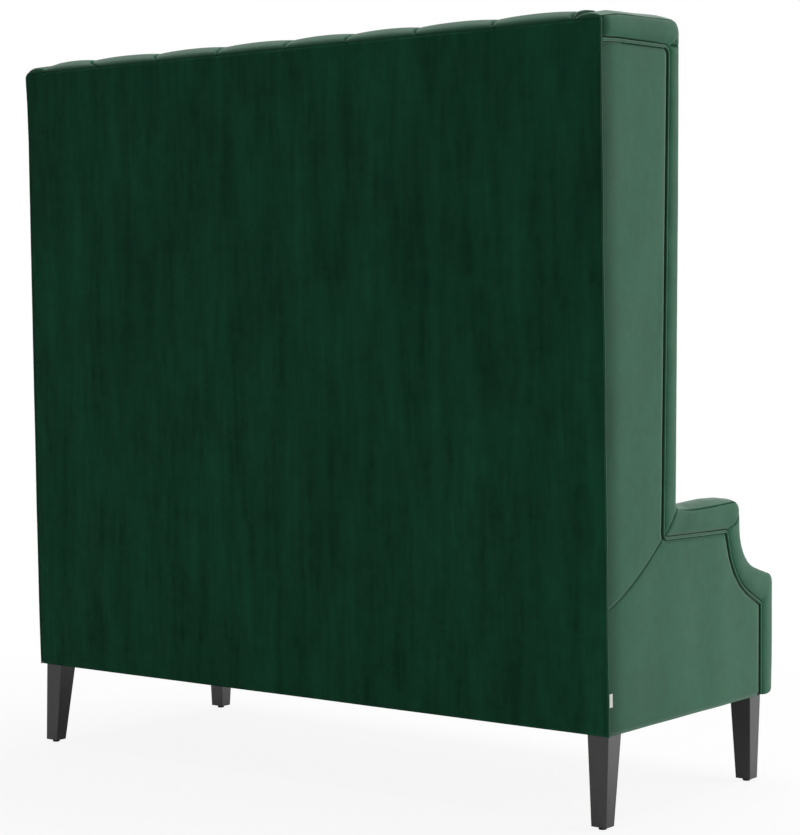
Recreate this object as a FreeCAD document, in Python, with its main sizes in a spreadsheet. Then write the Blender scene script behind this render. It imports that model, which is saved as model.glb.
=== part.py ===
import FreeCAD, Part
import math
import os
import re
import Sketcher

# High back settee in millimetres. X runs across the width, the front faces -Y and Z is up.
# The origin is on the floor, under the middle of the settee.
# Left and right are those of a person sitting on it, so the right side is at -X.

Vector = FreeCAD.Vector
LEFT, RIGHT = 1, -1
SIDES = (("left", LEFT), ("right", RIGHT))

SIZES = {
    # outer form
    "panel_face": 806.0,
    "border_face": 808.0,
    "inner_face": 743.0,
    "front_face": 347.0,
    "back_foot": 319.0,
    "back_lean": 28.0,
    "box_bottom": 190.0,
    "back_top": 1600.0,
    "crown_top": 1624.0,
    # thickness of the layers in a wing and an arm, from the outside inwards
    "panel_thick": 6.0,
    "ply_thick": 13.0,
    "timber_thick": 25.0,
    "edge_padding": 19.5,
    # side outline
    "wing_top_rear": 1610.0,
    "wing_top_front": 1626.0,
    "wing_front_high": 52.6,
    "wing_front_low": 62.3,
    "arm_top": 627.0,
    "arm_front": 201.5,
    "scoop_corner": 487.0,
    "shoulder": 448.0,
    "wing_corner_round": 36.0,
    "arm_root_round": 20.0,
    "arm_nose_round": 22.0,
    "scoop_round": 100.0,
    "shoulder_round": 20.0,
    # welt line on the outer side
    "welt_top_rear": 1560.0,
    "welt_top_front": 1565.5,
    "welt_wing_high": 92.0,
    "welt_wing_low": 111.6,
    "welt_arm": 566.0,
    "welt_arm_low": 561.0,
    "welt_arm_front": 147.0,
    "welt_scoop_y": 181.0,
    "welt_scoop_z": 450.0,
    "welt_shoulder": 392.0,
    "welt_front": 297.0,
    "welt_scoop_round": 170.0,
    "welt_wing_round": 17.0,
    "welt_root_round": 14.0,
    "welt_small_round": 8.0,
    "welt_radius": 3.2,
    "welt_sunk": 0.5,
    "border_round": 9.0,
    "join_rear": 438.0,
    "arm_nose_slant": 0.5,
    # timbers inside a wing and an arm
    "wing_post_front": 84.0,
    "wing_post_deep": 45.0,
    "wing_rail_front": 100.0,
    "wing_rail_rear": 296.0,
    "wing_rail_low": 1550.0,
    "wing_rail_tall": 42.0,
    "arm_rail_front": 130.0,
    "arm_rail_low": 565.0,
    "arm_rail_tall": 40.0,
    "stump_rear": 240.0,
    "stump_step_low": 400.0,
    "stump_step_high": 520.0,
    "stump_play": 1.0,
    "layer_play": 0.3,
    # back, measured square to the leaning back face and up along it
    "cover_thick": 4.0,
    "back_frame_depth": 40.0,
    "webbing_thick": 2.0,
    "webbing_wide": 50.0,
    "hessian_thick": 1.0,
    "post_wide": 48.0,
    "back_rail_tall": 60.0,
    "back_frame_tall": 1390.0,
    "mid_rail_up": 720.0,
    "tuck_rail_up": 166.0,
    "stud_place": 246.0,
    "stud_wide": 45.0,
    # buttoned inside back
    "button_pitch": 189.0,
    "button_row_gap": 120.0,
    "button_top_row": 1280.0,
    "button_radius": 12.0,
    "button_thick": 8.0,
    "pad_bottom": 162.0,
    "pad_top": 1340.0,
    "pad_at_button": 47.0,
    "pad_at_pleat": 58.0,
    "pad_at_channel": 50.0,
    "pad_swell": 34.0,
    "crease_margin": 8.0,
    # top roll over the back
    "roll_pinch": 8.0,
    "roll_end_fullness": 0.2,
    "roll_crown_depth": 74.0,
    "roll_front_lift": 0.62,
    "roll_front_flat": 3.0,
    "roll_rear_depth": 26.0,
    "roll_rear_drop": 6.0,
    # seat frame, springs and platform
    "seat_rear": 274.5,
    "rail_thick": 25.0,
    "rail_tall": 125.0,
    "rail_front": 333.0,
    "side_rail_front": 327.0,
    "rail_outer": 762.0,
    "centre_rail_wide": 45.0,
    "centre_rail_tall": 85.0,
    "corner_leg": 60.0,
    "corner_tall": 45.0,
    "spring_gap": 180.0,
    "spring_wire": 4.0,
    "spring_lift": 4.0,
    "spring_wide": 50.0,
    "clip_wide": 18.0,
    "clip_deep": 16.0,
    "clip_tall": 7.0,
    "insulator_thick": 1.5,
    "platform_thick": 26.0,
    "front_border_thick": 11.0,
    "front_border_round": 7.0,
    "dust_thick": 1.5,
    "leg_notch": 58.0,
    # loose seat cushion
    "cushion_half": 736.0,
    "cushion_front": 335.0,
    "cushion_rear": 184.0,
    "cushion_lift": 0.4,
    "cushion_side": 104.0,
    "cushion_crown": 18.0,
    "cushion_draw": 6.0,
    "cushion_corner": 34.0,
    "cushion_seam_in": 14.0,
    "cushion_foot_in": 26.0,
    "cushion_bulge": 2.5,
    "cushion_least_corner": 12.0,
    "cushion_welt": 3.0,
    # legs
    "leg_top_wide": 50.0,
    "leg_rear_deep": 48.0,
    "leg_front_deep": 46.0,
    "leg_foot_wide": 36.0,
    "leg_rear_foot": 30.0,
    "leg_front_foot": 32.0,
    "leg_rear_kick": 15.0,
    "leg_front_kick": -1.0,
    "leg_rear_splay": 5.5,
    "leg_front_splay": 3.0,
    "leg_side_inset": 6.0,
    "leg_back_inset": 8.0,
    "leg_front_y": 283.0,
    "leg_arris": 1.5,
    "glide_radius": 8.0,
    "glide_tall": 6.0,
    "bolt_radius": 4.0,
    "bolt_place": 774.5,
    "bolt_in_leg": 36.0,
    "bolt_in_frame": 45.0,
    "bolt_play": 0.2,
    # blank woven tab in the rear seam
    "tab_wide": 11.0,
    "tab_tall": 27.0,
    "tab_thick": 1.0,
    "tab_up": 247.5,
    "tab_in": 3.0,
}
# sizes that follow from others, as formulas of the sheet
DERIVED = {
    "cover_tall": "=sqrt((back_top - box_bottom) ^ 2 + back_lean ^ 2)",
    "low_stud_tall": "=mid_rail_up - tuck_rail_up - back_rail_tall",
    "high_stud_tall": "=back_frame_tall - mid_rail_up - 2 * back_rail_tall",
    "platform_rise": "=rail_tall + clip_tall + layer_play + insulator_thick + platform_thick",
}

doc = FreeCAD.newDocument("high_back_settee")
sheet = doc.addObject("Spreadsheet::Sheet", "Sizes")
for row, (alias, value) in enumerate({**SIZES, **DERIVED}.items(), start=1):
    sheet.set("A%d" % row, alias.replace("_", " "))
    sheet.set("B%d" % row, str(value))
    sheet.setAlias("B%d" % row, alias)
doc.recompute()

nodes = {}


def size(alias):
    return float(sheet.get(alias))


def formula(words):
    """The expression for words of the sheet, such as rail_front - rail_thick."""
    return re.sub(r"[a-z_]+", lambda hit: "Sizes." + hit.group(0), words)


def bind(thing, **bindings):
    for name, words in bindings.items():
        thing.setExpression(name.replace("__", "."), formula(words))


def keep(thing, label):
    """Lists an object as a sub-part, under the label that names its file."""
    thing.Label = label
    nodes[label] = thing
    return thing


def box(name, x, y, z, length, width, height):
    piece = doc.addObject("Part::Box", name)
    bind(piece, Length=length, Width=width, Height=height)
    bind(piece, Placement__Base__x=x, Placement__Base__y=y, Placement__Base__z=z)
    return piece


def group(label, pieces):
    compound = doc.addObject("Part::Compound", label)
    compound.Links = pieces
    return keep(compound, label)


def from_side(side, near, far):
    """Low X of a piece that spans near to far from the middle, on one side."""
    return near if side == LEFT else "-(%s)" % far


# the leaning back

lean_angle = math.degrees(math.atan2(size("back_lean"), size("back_top") - size("box_bottom")))
back_place = FreeCAD.Placement(
    Vector(0, size("back_foot"), size("box_bottom")),
    FreeCAD.Rotation(Vector(1, 0, 0), -lean_angle),
)
frame_face = size("cover_thick") + size("back_frame_depth")
pad_face = frame_face + size("webbing_thick") + size("hessian_thick")


def back_line(height, depth=0.0):
    """Y of the plane that lies depth in front of the back face, at a height."""
    rise = height - size("box_bottom")
    lean = math.radians(lean_angle)
    return size("back_foot") + rise * math.tan(lean) - depth / math.cos(lean)


def leaning_box(name, low, length, depth, height):
    """A box in the back, placed at low: X, distance from the back face, height along it."""
    piece = doc.addObject("Part::Box", name)
    bind(piece, Length=length, Width=depth, Height=height)
    doc.recompute()
    corner = Vector(low[0], -low[1] - piece.Width.Value, low[2])
    piece.Placement = back_place.multiply(FreeCAD.Placement(corner, FreeCAD.Rotation()))
    return piece


# outlines in the side view, as corners (y, z, radius)


def unit(v):
    return v * (1.0 / v.Length)


def rounded(corners):
    """Lines and tangent arcs round a closed outline."""
    turns = []
    for i, (y, z, radius) in enumerate(corners):
        here = Vector(y, z, 0)
        before = corners[i - 1]
        after = corners[(i + 1) % len(corners)]
        back = unit(Vector(before[0], before[1], 0) - here)
        onward = unit(Vector(after[0], after[1], 0) - here)
        if radius <= 0:
            turns.append((here, None, here))
            continue
        half = math.acos(back.dot(onward)) / 2
        reach = radius / math.tan(half)
        centre = here + unit(back + onward) * (radius / math.sin(half))
        middle = centre + unit(here - centre) * radius
        turns.append((here + back * reach, middle, here + onward * reach))
    curves = []
    for i, (start, middle, end) in enumerate(turns):
        if middle:
            curves.append(Part.Arc(start, middle, end))
        following = turns[(i + 1) % len(turns)][0]
        if (following - end).Length > 0.001:
            curves.append(Part.LineSegment(end, following))
    return curves


def inset(corners, distances):
    """The outline with side i, from corner i to the next, moved inwards by its distance."""
    sides = []
    for i, (y, z, _) in enumerate(corners):
        after = corners[(i + 1) % len(corners)]
        along = unit(Vector(after[0] - y, after[1] - z, 0))
        inwards = Vector(-along.y, along.x, 0)
        sides.append((Vector(y, z, 0) + inwards * distances[i], along, distances[i]))
    moved = []
    for i, (_, _, radius) in enumerate(corners):
        p, d, _ = sides[i - 1]
        q, e, gap = sides[i]
        turn = d.x * e.y - d.y * e.x
        step = ((q.x - p.x) * e.y - (q.y - p.y) * e.x) / turn
        corner = p + d * step
        if radius > 0:
            radius = radius - gap if turn > 0 else radius + gap
        moved.append((corner.x, corner.y, radius))
    return moved


def side_outline():
    """Wing and arm seen from the side, from the rear top round the front to the rear foot."""
    rear_depth = size("cover_thick")
    return [
        (back_line(size("wing_top_rear"), rear_depth), size("wing_top_rear"), 0),
        (size("wing_front_high"), size("wing_top_front"), size("wing_corner_round")),
        (size("wing_front_low"), size("arm_top"), size("arm_root_round")),
        (-size("arm_front"), size("arm_top"), size("arm_nose_round")),
        (-size("arm_front") - size("arm_nose_slant"), size("scoop_corner"), size("scoop_round")),
        (-size("front_face"), size("shoulder"), size("shoulder_round")),
        (-size("front_face"), size("box_bottom"), 0),
        (back_line(size("box_bottom"), rear_depth), size("box_bottom"), 0),
    ]


def welt_corners():
    """The welt's line on the outer side, from the rear top round to the front foot."""
    small = size("welt_small_round")
    return [
        (back_line(size("welt_top_rear"), size("cover_thick")), size("welt_top_rear"), 0),
        (size("welt_wing_high"), size("welt_top_front"), size("welt_wing_round")),
        (size("welt_wing_low"), size("welt_arm"), size("welt_root_round")),
        (-size("welt_arm_front"), size("welt_arm_low"), small),
        (-size("welt_scoop_y"), size("welt_scoop_z"), size("welt_scoop_round")),
        (-size("welt_front"), size("welt_shoulder"), small),
        (-size("welt_front"), size("box_bottom"), 0),
    ]


OUTLINE = side_outline()
WELT = welt_corners()
REAR_FOOT = (back_line(size("box_bottom"), size("cover_thick")), size("box_bottom"), 0)
WELT_FACE = WELT + [REAR_FOOT]


# bodies made from sketches


def new_body(label):
    return keep(doc.addObject("PartDesign::Body", label), label)


def origin_plane(body, role):
    return next(feature for feature in body.Origin.OriginFeatures if feature.Role == role)


def sketch_on(body, role, name, curves, offset):
    """A sketch parallel to an origin plane of its body, offset along the plane's normal."""
    sketch = body.newObject("Sketcher::SketchObject", name)
    sketch.AttachmentSupport = [(origin_plane(body, role), "")]
    sketch.MapMode = "FlatFace"
    bind(sketch, AttachmentOffset__Base__z=offset)
    for index, curve in enumerate(curves):
        sketch.addGeometry(curve, False)
        sketch.addConstraint(Sketcher.Constraint("Block", index))
    return sketch


def clipped(corners, polygon):
    """The part of a flat outline that lies in a polygon, as one face in the side view."""
    face = Part.Face(Part.Wire([curve.toShape() for curve in rounded(corners)]))
    clip = Part.Face(Part.makePolygon([Vector(y, z, 0) for y, z in polygon + polygon[:1]]))
    return face.common(clip).Faces[0]


def face_curves(face):
    """A face's outer boundary as curves for a sketch."""
    curves = []
    for edge in face.OuterWire.OrderedEdges:
        first, last = edge.ParameterRange
        start, end = edge.valueAt(first), edge.valueAt(last)
        if isinstance(edge.Curve, Part.Circle):
            curves.append(Part.Arc(start, edge.valueAt((first + last) / 2), end))
        else:
            curves.append(Part.LineSegment(start, end))
    return curves


def layer(body, feature, side, corners, near, far, polygon=None):
    """Pads or pockets a side view outline, or its part in a polygon, between two distances."""
    index = len(body.Group)
    start = near if side == LEFT else "-(%s)" % near
    curves = face_curves(clipped(corners, polygon)) if polygon else rounded(corners)
    sketch = sketch_on(body, "YZ_Plane", "%s_outline_%d" % (body.Name, index), curves, start)
    made = body.newObject("PartDesign::" + feature, "%s_%s_%d" % (body.Name, feature.lower(), index))
    made.Profile = sketch
    bind(made, Length="(%s) - (%s)" % (far, near))
    outwards = side == LEFT
    made.Reversed = not outwards if feature == "Pad" else outwards
    before = body.Shape.Volume if feature == "Pocket" else 0
    doc.recompute()
    changed = body.Shape.Volume - before
    if feature == "Pad" and changed <= 0 or feature == "Pocket" and changed >= 0:
        raise RuntimeError("%s changed nothing in %s" % (feature, body.Label))
    return made


def round_over(body, radius, wanted):
    """Fillets the edges of a body's tip that a test picks."""
    tip = body.Tip
    picked = ["Edge%d" % (i + 1) for i, edge in enumerate(tip.Shape.Edges) if wanted(edge)]
    fillet = body.newObject("PartDesign::Fillet", body.Name + "_fillet")
    fillet.Base = (tip, picked)
    bind(fillet, Radius=radius)
    doc.recompute()
    return fillet


def slab(label, side, corners, polygon, near, far):
    """A flat piece cut from a side view outline by a polygon."""
    body = new_body(label)
    layer(body, "Pad", side, corners, near, far, polygon)
    return body


# the two sides, built alike on the left and the right

FAR = 2000.0
PLY = ("panel_face - panel_thick - ply_thick", "panel_face - panel_thick")
TIMBER = ("rail_outer", "rail_outer + timber_thick")
PADDING = ("inner_face", "rail_outer")
PANEL = ("panel_face - panel_thick", "panel_face")
pad = size("edge_padding")
play = size("layer_play")


def core(gap):
    """The side outline inside its edge padding, and a gap further in."""
    deep = pad + gap
    return inset(OUTLINE, [deep, deep, deep, deep, deep, deep, 0, 0])


def cut_line(start, end, before, beyond):
    """A seam's line, made longer at both ends."""
    start, end = Vector(start[0], start[1], 0), Vector(end[0], end[1], 0)
    along = unit(end - start)
    return start - along * before, end + along * beyond


# mitre from the welt's inner corner to the root of the arm, and the join across the outer panel
WELT_CORNER = (size("welt_wing_low"), size("welt_arm"))
BEYOND_EDGE = 60.0
INTO_PANEL = 150.0
PAST_WELT = 30.0
mitre_in, mitre_out = cut_line(
    WELT_CORNER, (size("wing_front_low"), size("arm_top")), INTO_PANEL, BEYOND_EDGE
)
WING_SIDE = [
    (mitre_out.x, mitre_out.y), (mitre_out.x, FAR), (FAR, FAR),
    (FAR, mitre_in.y), (mitre_in.x, mitre_in.y),
]
ARM_SIDE = [
    (mitre_out.x, mitre_out.y), (mitre_in.x, mitre_in.y), (mitre_in.x, 0),
    (-FAR, 0), (-FAR, mitre_out.y),
]
join_front, join_rear = cut_line(
    WELT_CORNER, (back_line(size("join_rear")), size("join_rear")), PAST_WELT, BEYOND_EDGE
)
UPPER_PANEL = [
    (join_front.x, join_front.y), (join_front.x, FAR),
    (join_rear.x, FAR), (join_rear.x, join_rear.y),
]
LOWER_PANEL = [
    (join_front.x, join_front.y), (join_rear.x, join_rear.y), (join_rear.x, 0),
    (-FAR, 0), (-FAR, join_front.y),
]

FRONT_EDGE = Part.Wire([curve.toShape() for curve in rounded(OUTLINE)[:-2]])


def on_front_edge(edge, face):
    """Whether an edge runs along the wing and arm outline at a distance from the middle."""
    first, last = edge.ParameterRange
    middle = edge.valueAt((first + last) / 2)
    flat = Part.Vertex(Vector(middle.y, middle.z, 0))
    return abs(abs(middle.x) - face) < 0.01 and flat.distToShape(FRONT_EDGE)[0] < 0.01


def border(label, side, polygon):
    """Padded strip that wraps the edge of a wing or an arm and ends at the welt."""
    body = new_body(label)
    layer(body, "Pad", side, OUTLINE, "inner_face", "border_face", polygon)
    layer(body, "Pocket", side, core(0.0), "inner_face", "panel_face - panel_thick")
    layer(body, "Pocket", side, WELT_FACE, "panel_face - panel_thick", "border_face")
    outer, inner = size("border_face"), size("inner_face")
    round_over(body, "border_round", lambda edge: on_front_edge(edge, outer) or on_front_edge(edge, inner))
    return body


def welt_cord(label, side):
    """Piped cord sewn between the border and the outer panel."""
    line = Part.Wire([curve.toShape() for curve in rounded(WELT)[:-1]])
    turn = FreeCAD.Rotation(Vector(0, 1, 0), Vector(0, 0, 1), Vector(1, 0, 0), "ZXY")
    line.Placement = FreeCAD.Placement(Vector(side * (size("panel_face") - size("welt_sunk")), 0, 0), turn)
    start = line.OrderedVertexes[0].Point
    way = line.OrderedEdges[0].tangentAt(line.OrderedEdges[0].FirstParameter)
    ring = Part.Wire(Part.Circle(start, way, size("welt_radius")).toShape())
    piece = doc.addObject("Part::Feature", label)
    piece.Shape = line.makePipeShell([ring], True, False)
    return keep(piece, label)


def timber(label, side, front, low, deep, tall):
    """A rail or post in the middle layer of a wing and an arm."""
    return keep(box(label, from_side(side, *TIMBER), front, low, "timber_thick", deep, tall), label)


def padding_polygon(low, high):
    return [(-FAR, low), (-FAR, high), (pad_front(high), high), (pad_front(low), low)]


def pad_front(height):
    return back_line(height, frame_face)


stump_corner = -size("arm_rail_front")
STUMP = [
    (-FAR, size("box_bottom")), (-FAR, FAR), (stump_corner, FAR), (stump_corner, size("stump_step_high")),
    (-size("stump_rear"), size("stump_step_low")), (-size("stump_rear"), size("box_bottom")),
]
arm_seam = size("arm_top") - pad

for hand, side in SIDES:
    layer(new_body("side_ply_" + hand), "Pad", side, core(play), *PLY)
    timber("wing_post_" + hand, side, "wing_post_front", "box_bottom",
           "wing_post_deep", "wing_rail_low - box_bottom")
    timber("wing_top_rail_" + hand, side, "wing_rail_front", "wing_rail_low",
           "wing_rail_rear - wing_rail_front", "wing_rail_tall")
    timber("arm_rail_" + hand, side, "-arm_rail_front", "arm_rail_low",
           "arm_rail_front + wing_post_front", "arm_rail_tall")
    slab("wing_inner_pad_" + hand, side, core(play), padding_polygon(arm_seam + play, FAR), *PADDING)
    low_pad = size("box_bottom") + size("rail_tall")
    slab("arm_inner_pad_" + hand, side, core(play), padding_polygon(low_pad, arm_seam - play), *PADDING)
    border("wing_border_" + hand, side, WING_SIDE)
    border("arm_border_" + hand, side, ARM_SIDE)
    slab("outer_wing_panel_" + hand, side, WELT_FACE, UPPER_PANEL, *PANEL)
    slab("outer_arm_panel_" + hand, side, WELT_FACE, LOWER_PANEL, *PANEL)
    welt_cord("side_welt_" + hand, side)

# the back: frame, webbing, buttoned pad, top roll and outside cover


def back_rail(label, up):
    """A rail between the back posts, at a height along the back."""
    half = size("rail_outer") + size("timber_thick") - size("post_wide")
    low = (-half, size("cover_thick"), up)
    wide = "2 * (rail_outer + timber_thick - post_wide)"
    return keep(leaning_box(label, low, wide, "back_frame_depth", "back_rail_tall"), label)


back_rail("back_bottom_rail", 0.0)
back_rail("back_tuck_rail", size("tuck_rail_up"))
back_rail("back_mid_rail", size("mid_rail_up"))
back_rail("back_top_rail", size("back_frame_tall") - size("back_rail_tall"))

post_inner = size("rail_outer") + size("timber_thick") - size("post_wide")
STUDS = (("tuck_rail_up", "low_stud_tall"), ("mid_rail_up", "high_stud_tall"))


def bolt_hole(name, x, y):
    """Clearance hole for a leg bolt, upwards from the underside of the frame."""
    hole = doc.addObject("Part::Cylinder", name)
    bind(hole, Radius="bolt_radius + bolt_play", Height="bolt_in_frame + 1")
    hole.Placement.Base = Vector(x, y, size("box_bottom") - 1.0)
    return hole


def cut(label, base, tool):
    made = doc.addObject("Part::Cut", label)
    made.Base = base
    made.Tool = tool
    return keep(made, label)


rear_bolt_y = size("back_foot") - size("leg_back_inset") - size("leg_rear_deep") / 2
for hand, side in SIDES:
    low_x = post_inner if side == LEFT else -post_inner - size("post_wide")
    low = (low_x, size("cover_thick"), 0.0)
    blank = leaning_box("back_post_blank_" + hand, low, "post_wide", "back_frame_depth", "back_frame_tall")
    hole = bolt_hole("back_post_hole_" + hand, side * size("bolt_place"), rear_bolt_y)
    cut("back_post_" + hand, blank, hole)
    studs = []
    for rail_below, tall in STUDS:
        foot = size(rail_below) + size("back_rail_tall")
        low = (side * size("stud_place") - size("stud_wide") / 2, size("cover_thick"), foot)
        name = "back_%s_%s" % (tall, hand)
        studs.append(leaning_box(name, low, "stud_wide", "back_frame_depth", tall))
    group("back_stud_" + hand, studs)

strips = []
for number in range(-3, 4):
    low = (number * size("button_pitch") - size("webbing_wide") / 2, frame_face, size("tuck_rail_up"))
    name = "webbing_%d" % (number + 4)
    tall = "back_frame_tall - tuck_rail_up"
    strips.append(leaning_box(name, low, "webbing_wide", "webbing_thick", tall))
group("back_webbing", strips)

low = (-size("inner_face") + play, frame_face + size("webbing_thick"), size("pad_bottom"))
hessian = leaning_box("back_hessian", low, "2 * (inner_face - layer_play)", "hessian_thick",
                      "back_frame_tall - pad_bottom")
keep(hessian, "back_hessian")

low = (-size("panel_face"), 0.0, 0.0)
cover = leaning_box("outside_back_cover", low, "2 * panel_face", "cover_thick", "cover_tall")
keep(cover, "outside_back_cover")

pitch = size("button_pitch")
half_back = size("inner_face") - play
PLEATS = [pitch * number for number in range(-4, 5)]
FOLD = 0.06
ROWS = [size("button_top_row") - size("button_row_gap") * number for number in range(8)]


def creases(spread):
    """X of the pleats across the back, spread from the columns of the top button row."""
    reach = spread * pitch / 2
    places = []
    for column in PLEATS:
        places += [column - reach, column + reach]
    limit = half_back - size("crease_margin")
    return [max(-limit, min(limit, x)) for x in places[1:-1]]


def tufted_section(height, spread, depth):
    """Closed section of the inside back: a scallop between each pair of pleats."""
    xs = [-half_back] + creases(spread) + [half_back]
    points = [Vector(x, -pad_face - depth, height) for x in xs]
    edges = []
    for near, far in zip(points, points[1:]):
        wide = far.x - near.x
        swell = size("pad_swell") * (wide / pitch) ** 0.9
        crown = (near + far) * 0.5 - Vector(0, swell, 0)
        edges.append(Part.Arc(near, crown, far).toShape())
    rear_right = Vector(-half_back, -pad_face, height)
    rear_left = Vector(half_back, -pad_face, height)
    for start, end in ((points[-1], rear_left), (rear_left, rear_right), (rear_right, points[0])):
        edges.append(Part.LineSegment(start, end).toShape())
    return Part.Wire(edges)


def tufted_pad():
    """Diamond tufting between the button rows, straight channels above and below them."""
    at_button, at_pleat, at_channel = size("pad_at_button"), size("pad_at_pleat"), size("pad_at_channel")
    last = len(ROWS) - 1
    ends = {0: FOLD, 1: 1.0 - FOLD}
    sections = [(size("pad_top"), FOLD, at_channel)]
    for number, height in enumerate(ROWS):
        start = ends[number % 2]
        sections.append((height, start, at_button))
        if number == last:
            break
        finish = ends[(number + 1) % 2]
        for part in (0.25, 0.5, 0.75):
            depth = at_button + (at_pleat - at_button) * math.sin(math.pi * part)
            sections.append((height - size("button_row_gap") * part, start + (finish - start) * part, depth))
    sections.append((ROWS[-1] - size("button_row_gap") / 2, ends[last % 2], at_channel))
    sections.append((size("pad_bottom"), ends[last % 2], at_channel))
    return Part.makeLoft([tufted_section(*section) for section in sections], True, True)


def leaning_shape(label, shape):
    piece = doc.addObject("Part::Feature", label)
    piece.Shape = shape
    piece.Placement = back_place
    return keep(piece, label)


leaning_shape("inside_back_pad", tufted_pad())

button_front = pad_face + size("pad_at_button") + size("button_thick")
knobs = []
for number, height in enumerate(ROWS):
    shift = pitch / 2 if number % 2 else 0.0
    for column in PLEATS:
        x = column + shift
        if abs(x) > half_back - pitch / 4:
            continue
        centre = Vector(x, -button_front, height)
        knobs.append(Part.makeCylinder(size("button_radius"), size("button_thick"), centre, Vector(0, 1, 0)))
leaning_shape("back_buttons", Part.makeCompound(knobs))


ROLL_TAPER = 0.97


def roll_section(x, fullness):
    """Section of the top roll across the back, pinched where a pleat runs over it."""
    crown_up = size("crown_top") - size("box_bottom") - size("roll_pinch") * (1.0 - fullness)
    face = pad_face + size("pad_at_channel") + size("pad_swell") * fullness
    foot, ledge = size("pad_top"), size("back_frame_tall")
    rear = Vector(x, 0, size("cover_tall") + play)
    lip = Vector(x, -size("cover_thick"), size("cover_tall") + play)
    heel = Vector(x, -size("cover_thick"), ledge)
    step = Vector(x, -pad_face, ledge)
    toe = Vector(x, -pad_face, foot)
    front = Vector(x, -face, foot)
    crown = Vector(x, -size("roll_crown_depth"), crown_up)
    front_up = foot + (crown_up - foot) * size("roll_front_lift")
    front_mid = Vector(x, -face * ROLL_TAPER + size("roll_front_flat"), front_up)
    rear_mid = Vector(x, -size("roll_rear_depth"), crown_up - size("roll_rear_drop"))
    edges = [
        Part.Arc(front, front_mid, crown).toShape(),
        Part.Arc(crown, rear_mid, rear).toShape(),
    ]
    corners = [rear, lip, heel, step, toe, front]
    edges += [Part.LineSegment(start, end).toShape() for start, end in zip(corners, corners[1:])]
    return Part.Wire(edges)


def top_roll():
    """Padded roll over the top rail, with a pleat in line with each top button."""
    places = []
    for column in PLEATS[:-1]:
        for part, fullness in ((0.0, 0.0), (0.12, 0.55), (0.5, 1.0), (0.88, 0.55)):
            places.append((column + pitch * part, fullness))
    places.append((PLEATS[-1], 0.0))
    inside = [(x, fullness) for x, fullness in places if abs(x) < half_back]
    ends = size("roll_end_fullness")
    inside = [(-half_back, ends)] + inside + [(half_back, ends)]
    return Part.makeLoft([roll_section(x, fullness) for x, fullness in inside], True, True)


leaning_shape("back_top_roll", top_roll())

# seat frame, springs and platform

half_seat = "(rail_outer - rail_thick)"
REAR = "(seat_rear - rail_thick)"
keep(box("seat_front_rail", "-" + half_seat, "-rail_front", "box_bottom",
         "2 * " + half_seat, "rail_thick", "rail_tall"), "seat_front_rail")
keep(box("seat_rear_rail", "-" + half_seat, REAR, "box_bottom",
         "2 * " + half_seat, "rail_thick", "rail_tall"), "seat_rear_rail")
for hand, side in SIDES:
    label = "seat_side_rail_" + hand
    keep(box(label, from_side(side, half_seat, "rail_outer"), "-side_rail_front", "box_bottom",
             "rail_thick", "side_rail_front + seat_rear", "rail_tall"), label)
keep(box("seat_centre_rail", "-centre_rail_wide / 2", "-rail_front + rail_thick", "box_bottom",
         "centre_rail_wide", "rail_front + seat_rear - 2 * rail_thick", "centre_rail_tall"),
     "seat_centre_rail")


def corner_blocks():
    """Glued three-cornered blocks in the corners of the seat frame."""
    x = size("rail_outer") - size("rail_thick")
    front_y = -size("rail_front") + size("rail_thick")
    rear_y = size("seat_rear") - size("rail_thick")
    leg = size("corner_leg")
    blocks = []
    for _, side in SIDES:
        for y, way in ((front_y, 1), (rear_y, -1)):
            corner = Vector(side * x, y, size("box_bottom"))
            across = corner - Vector(side * leg, 0, 0)
            along = corner + Vector(0, way * leg, 0)
            face = Part.Face(Part.makePolygon([corner, across, along, corner]))
            blocks.append(face.extrude(Vector(0, 0, size("corner_tall"))))
    piece = doc.addObject("Part::Feature", "corner_blocks")
    piece.Shape = Part.makeCompound(blocks)
    return keep(piece, "corner_blocks")


corner_blocks()

BARS = 24
rail_top = size("box_bottom") + size("rail_tall")
wire_height = rail_top + size("spring_lift")
spring_front = -size("rail_front") + size("rail_thick") / 2
spring_rear = size("seat_rear") - size("rail_thick") / 2
SPRINGS = [size("spring_gap") * (number + 0.5) for number in range(-4, 4)]


def zigzag(x):
    """Sinuous spring: bars across the seat joined by half turns of wire."""
    step = (spring_rear - spring_front) / (BARS - 1)
    turn = step / 2
    reach = size("spring_wide") / 2 - turn
    edges = []
    for bar in range(BARS):
        y = spring_front + step * bar
        way = 1 if bar % 2 == 0 else -1
        start = Vector(x - way * reach, y, wire_height)
        end = Vector(x + way * reach, y, wire_height)
        edges.append(Part.LineSegment(start, end).toShape())
        if bar < BARS - 1:
            after = end + Vector(0, step, 0)
            middle = (end + after) * 0.5 + Vector(way * turn, 0, 0)
            edges.append(Part.Arc(end, middle, after).toShape())
    path = Part.Wire(edges)
    first = path.OrderedVertexes[0].Point
    ring = Part.Wire(Part.Circle(first, Vector(1, 0, 0), size("spring_wire") / 2).toShape())
    return path.makePipeShell([ring], True, False)


springs = doc.addObject("Part::Feature", "seat_springs")
springs.Shape = Part.makeCompound([zigzag(x) for x in SPRINGS])
keep(springs, "seat_springs")

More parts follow.
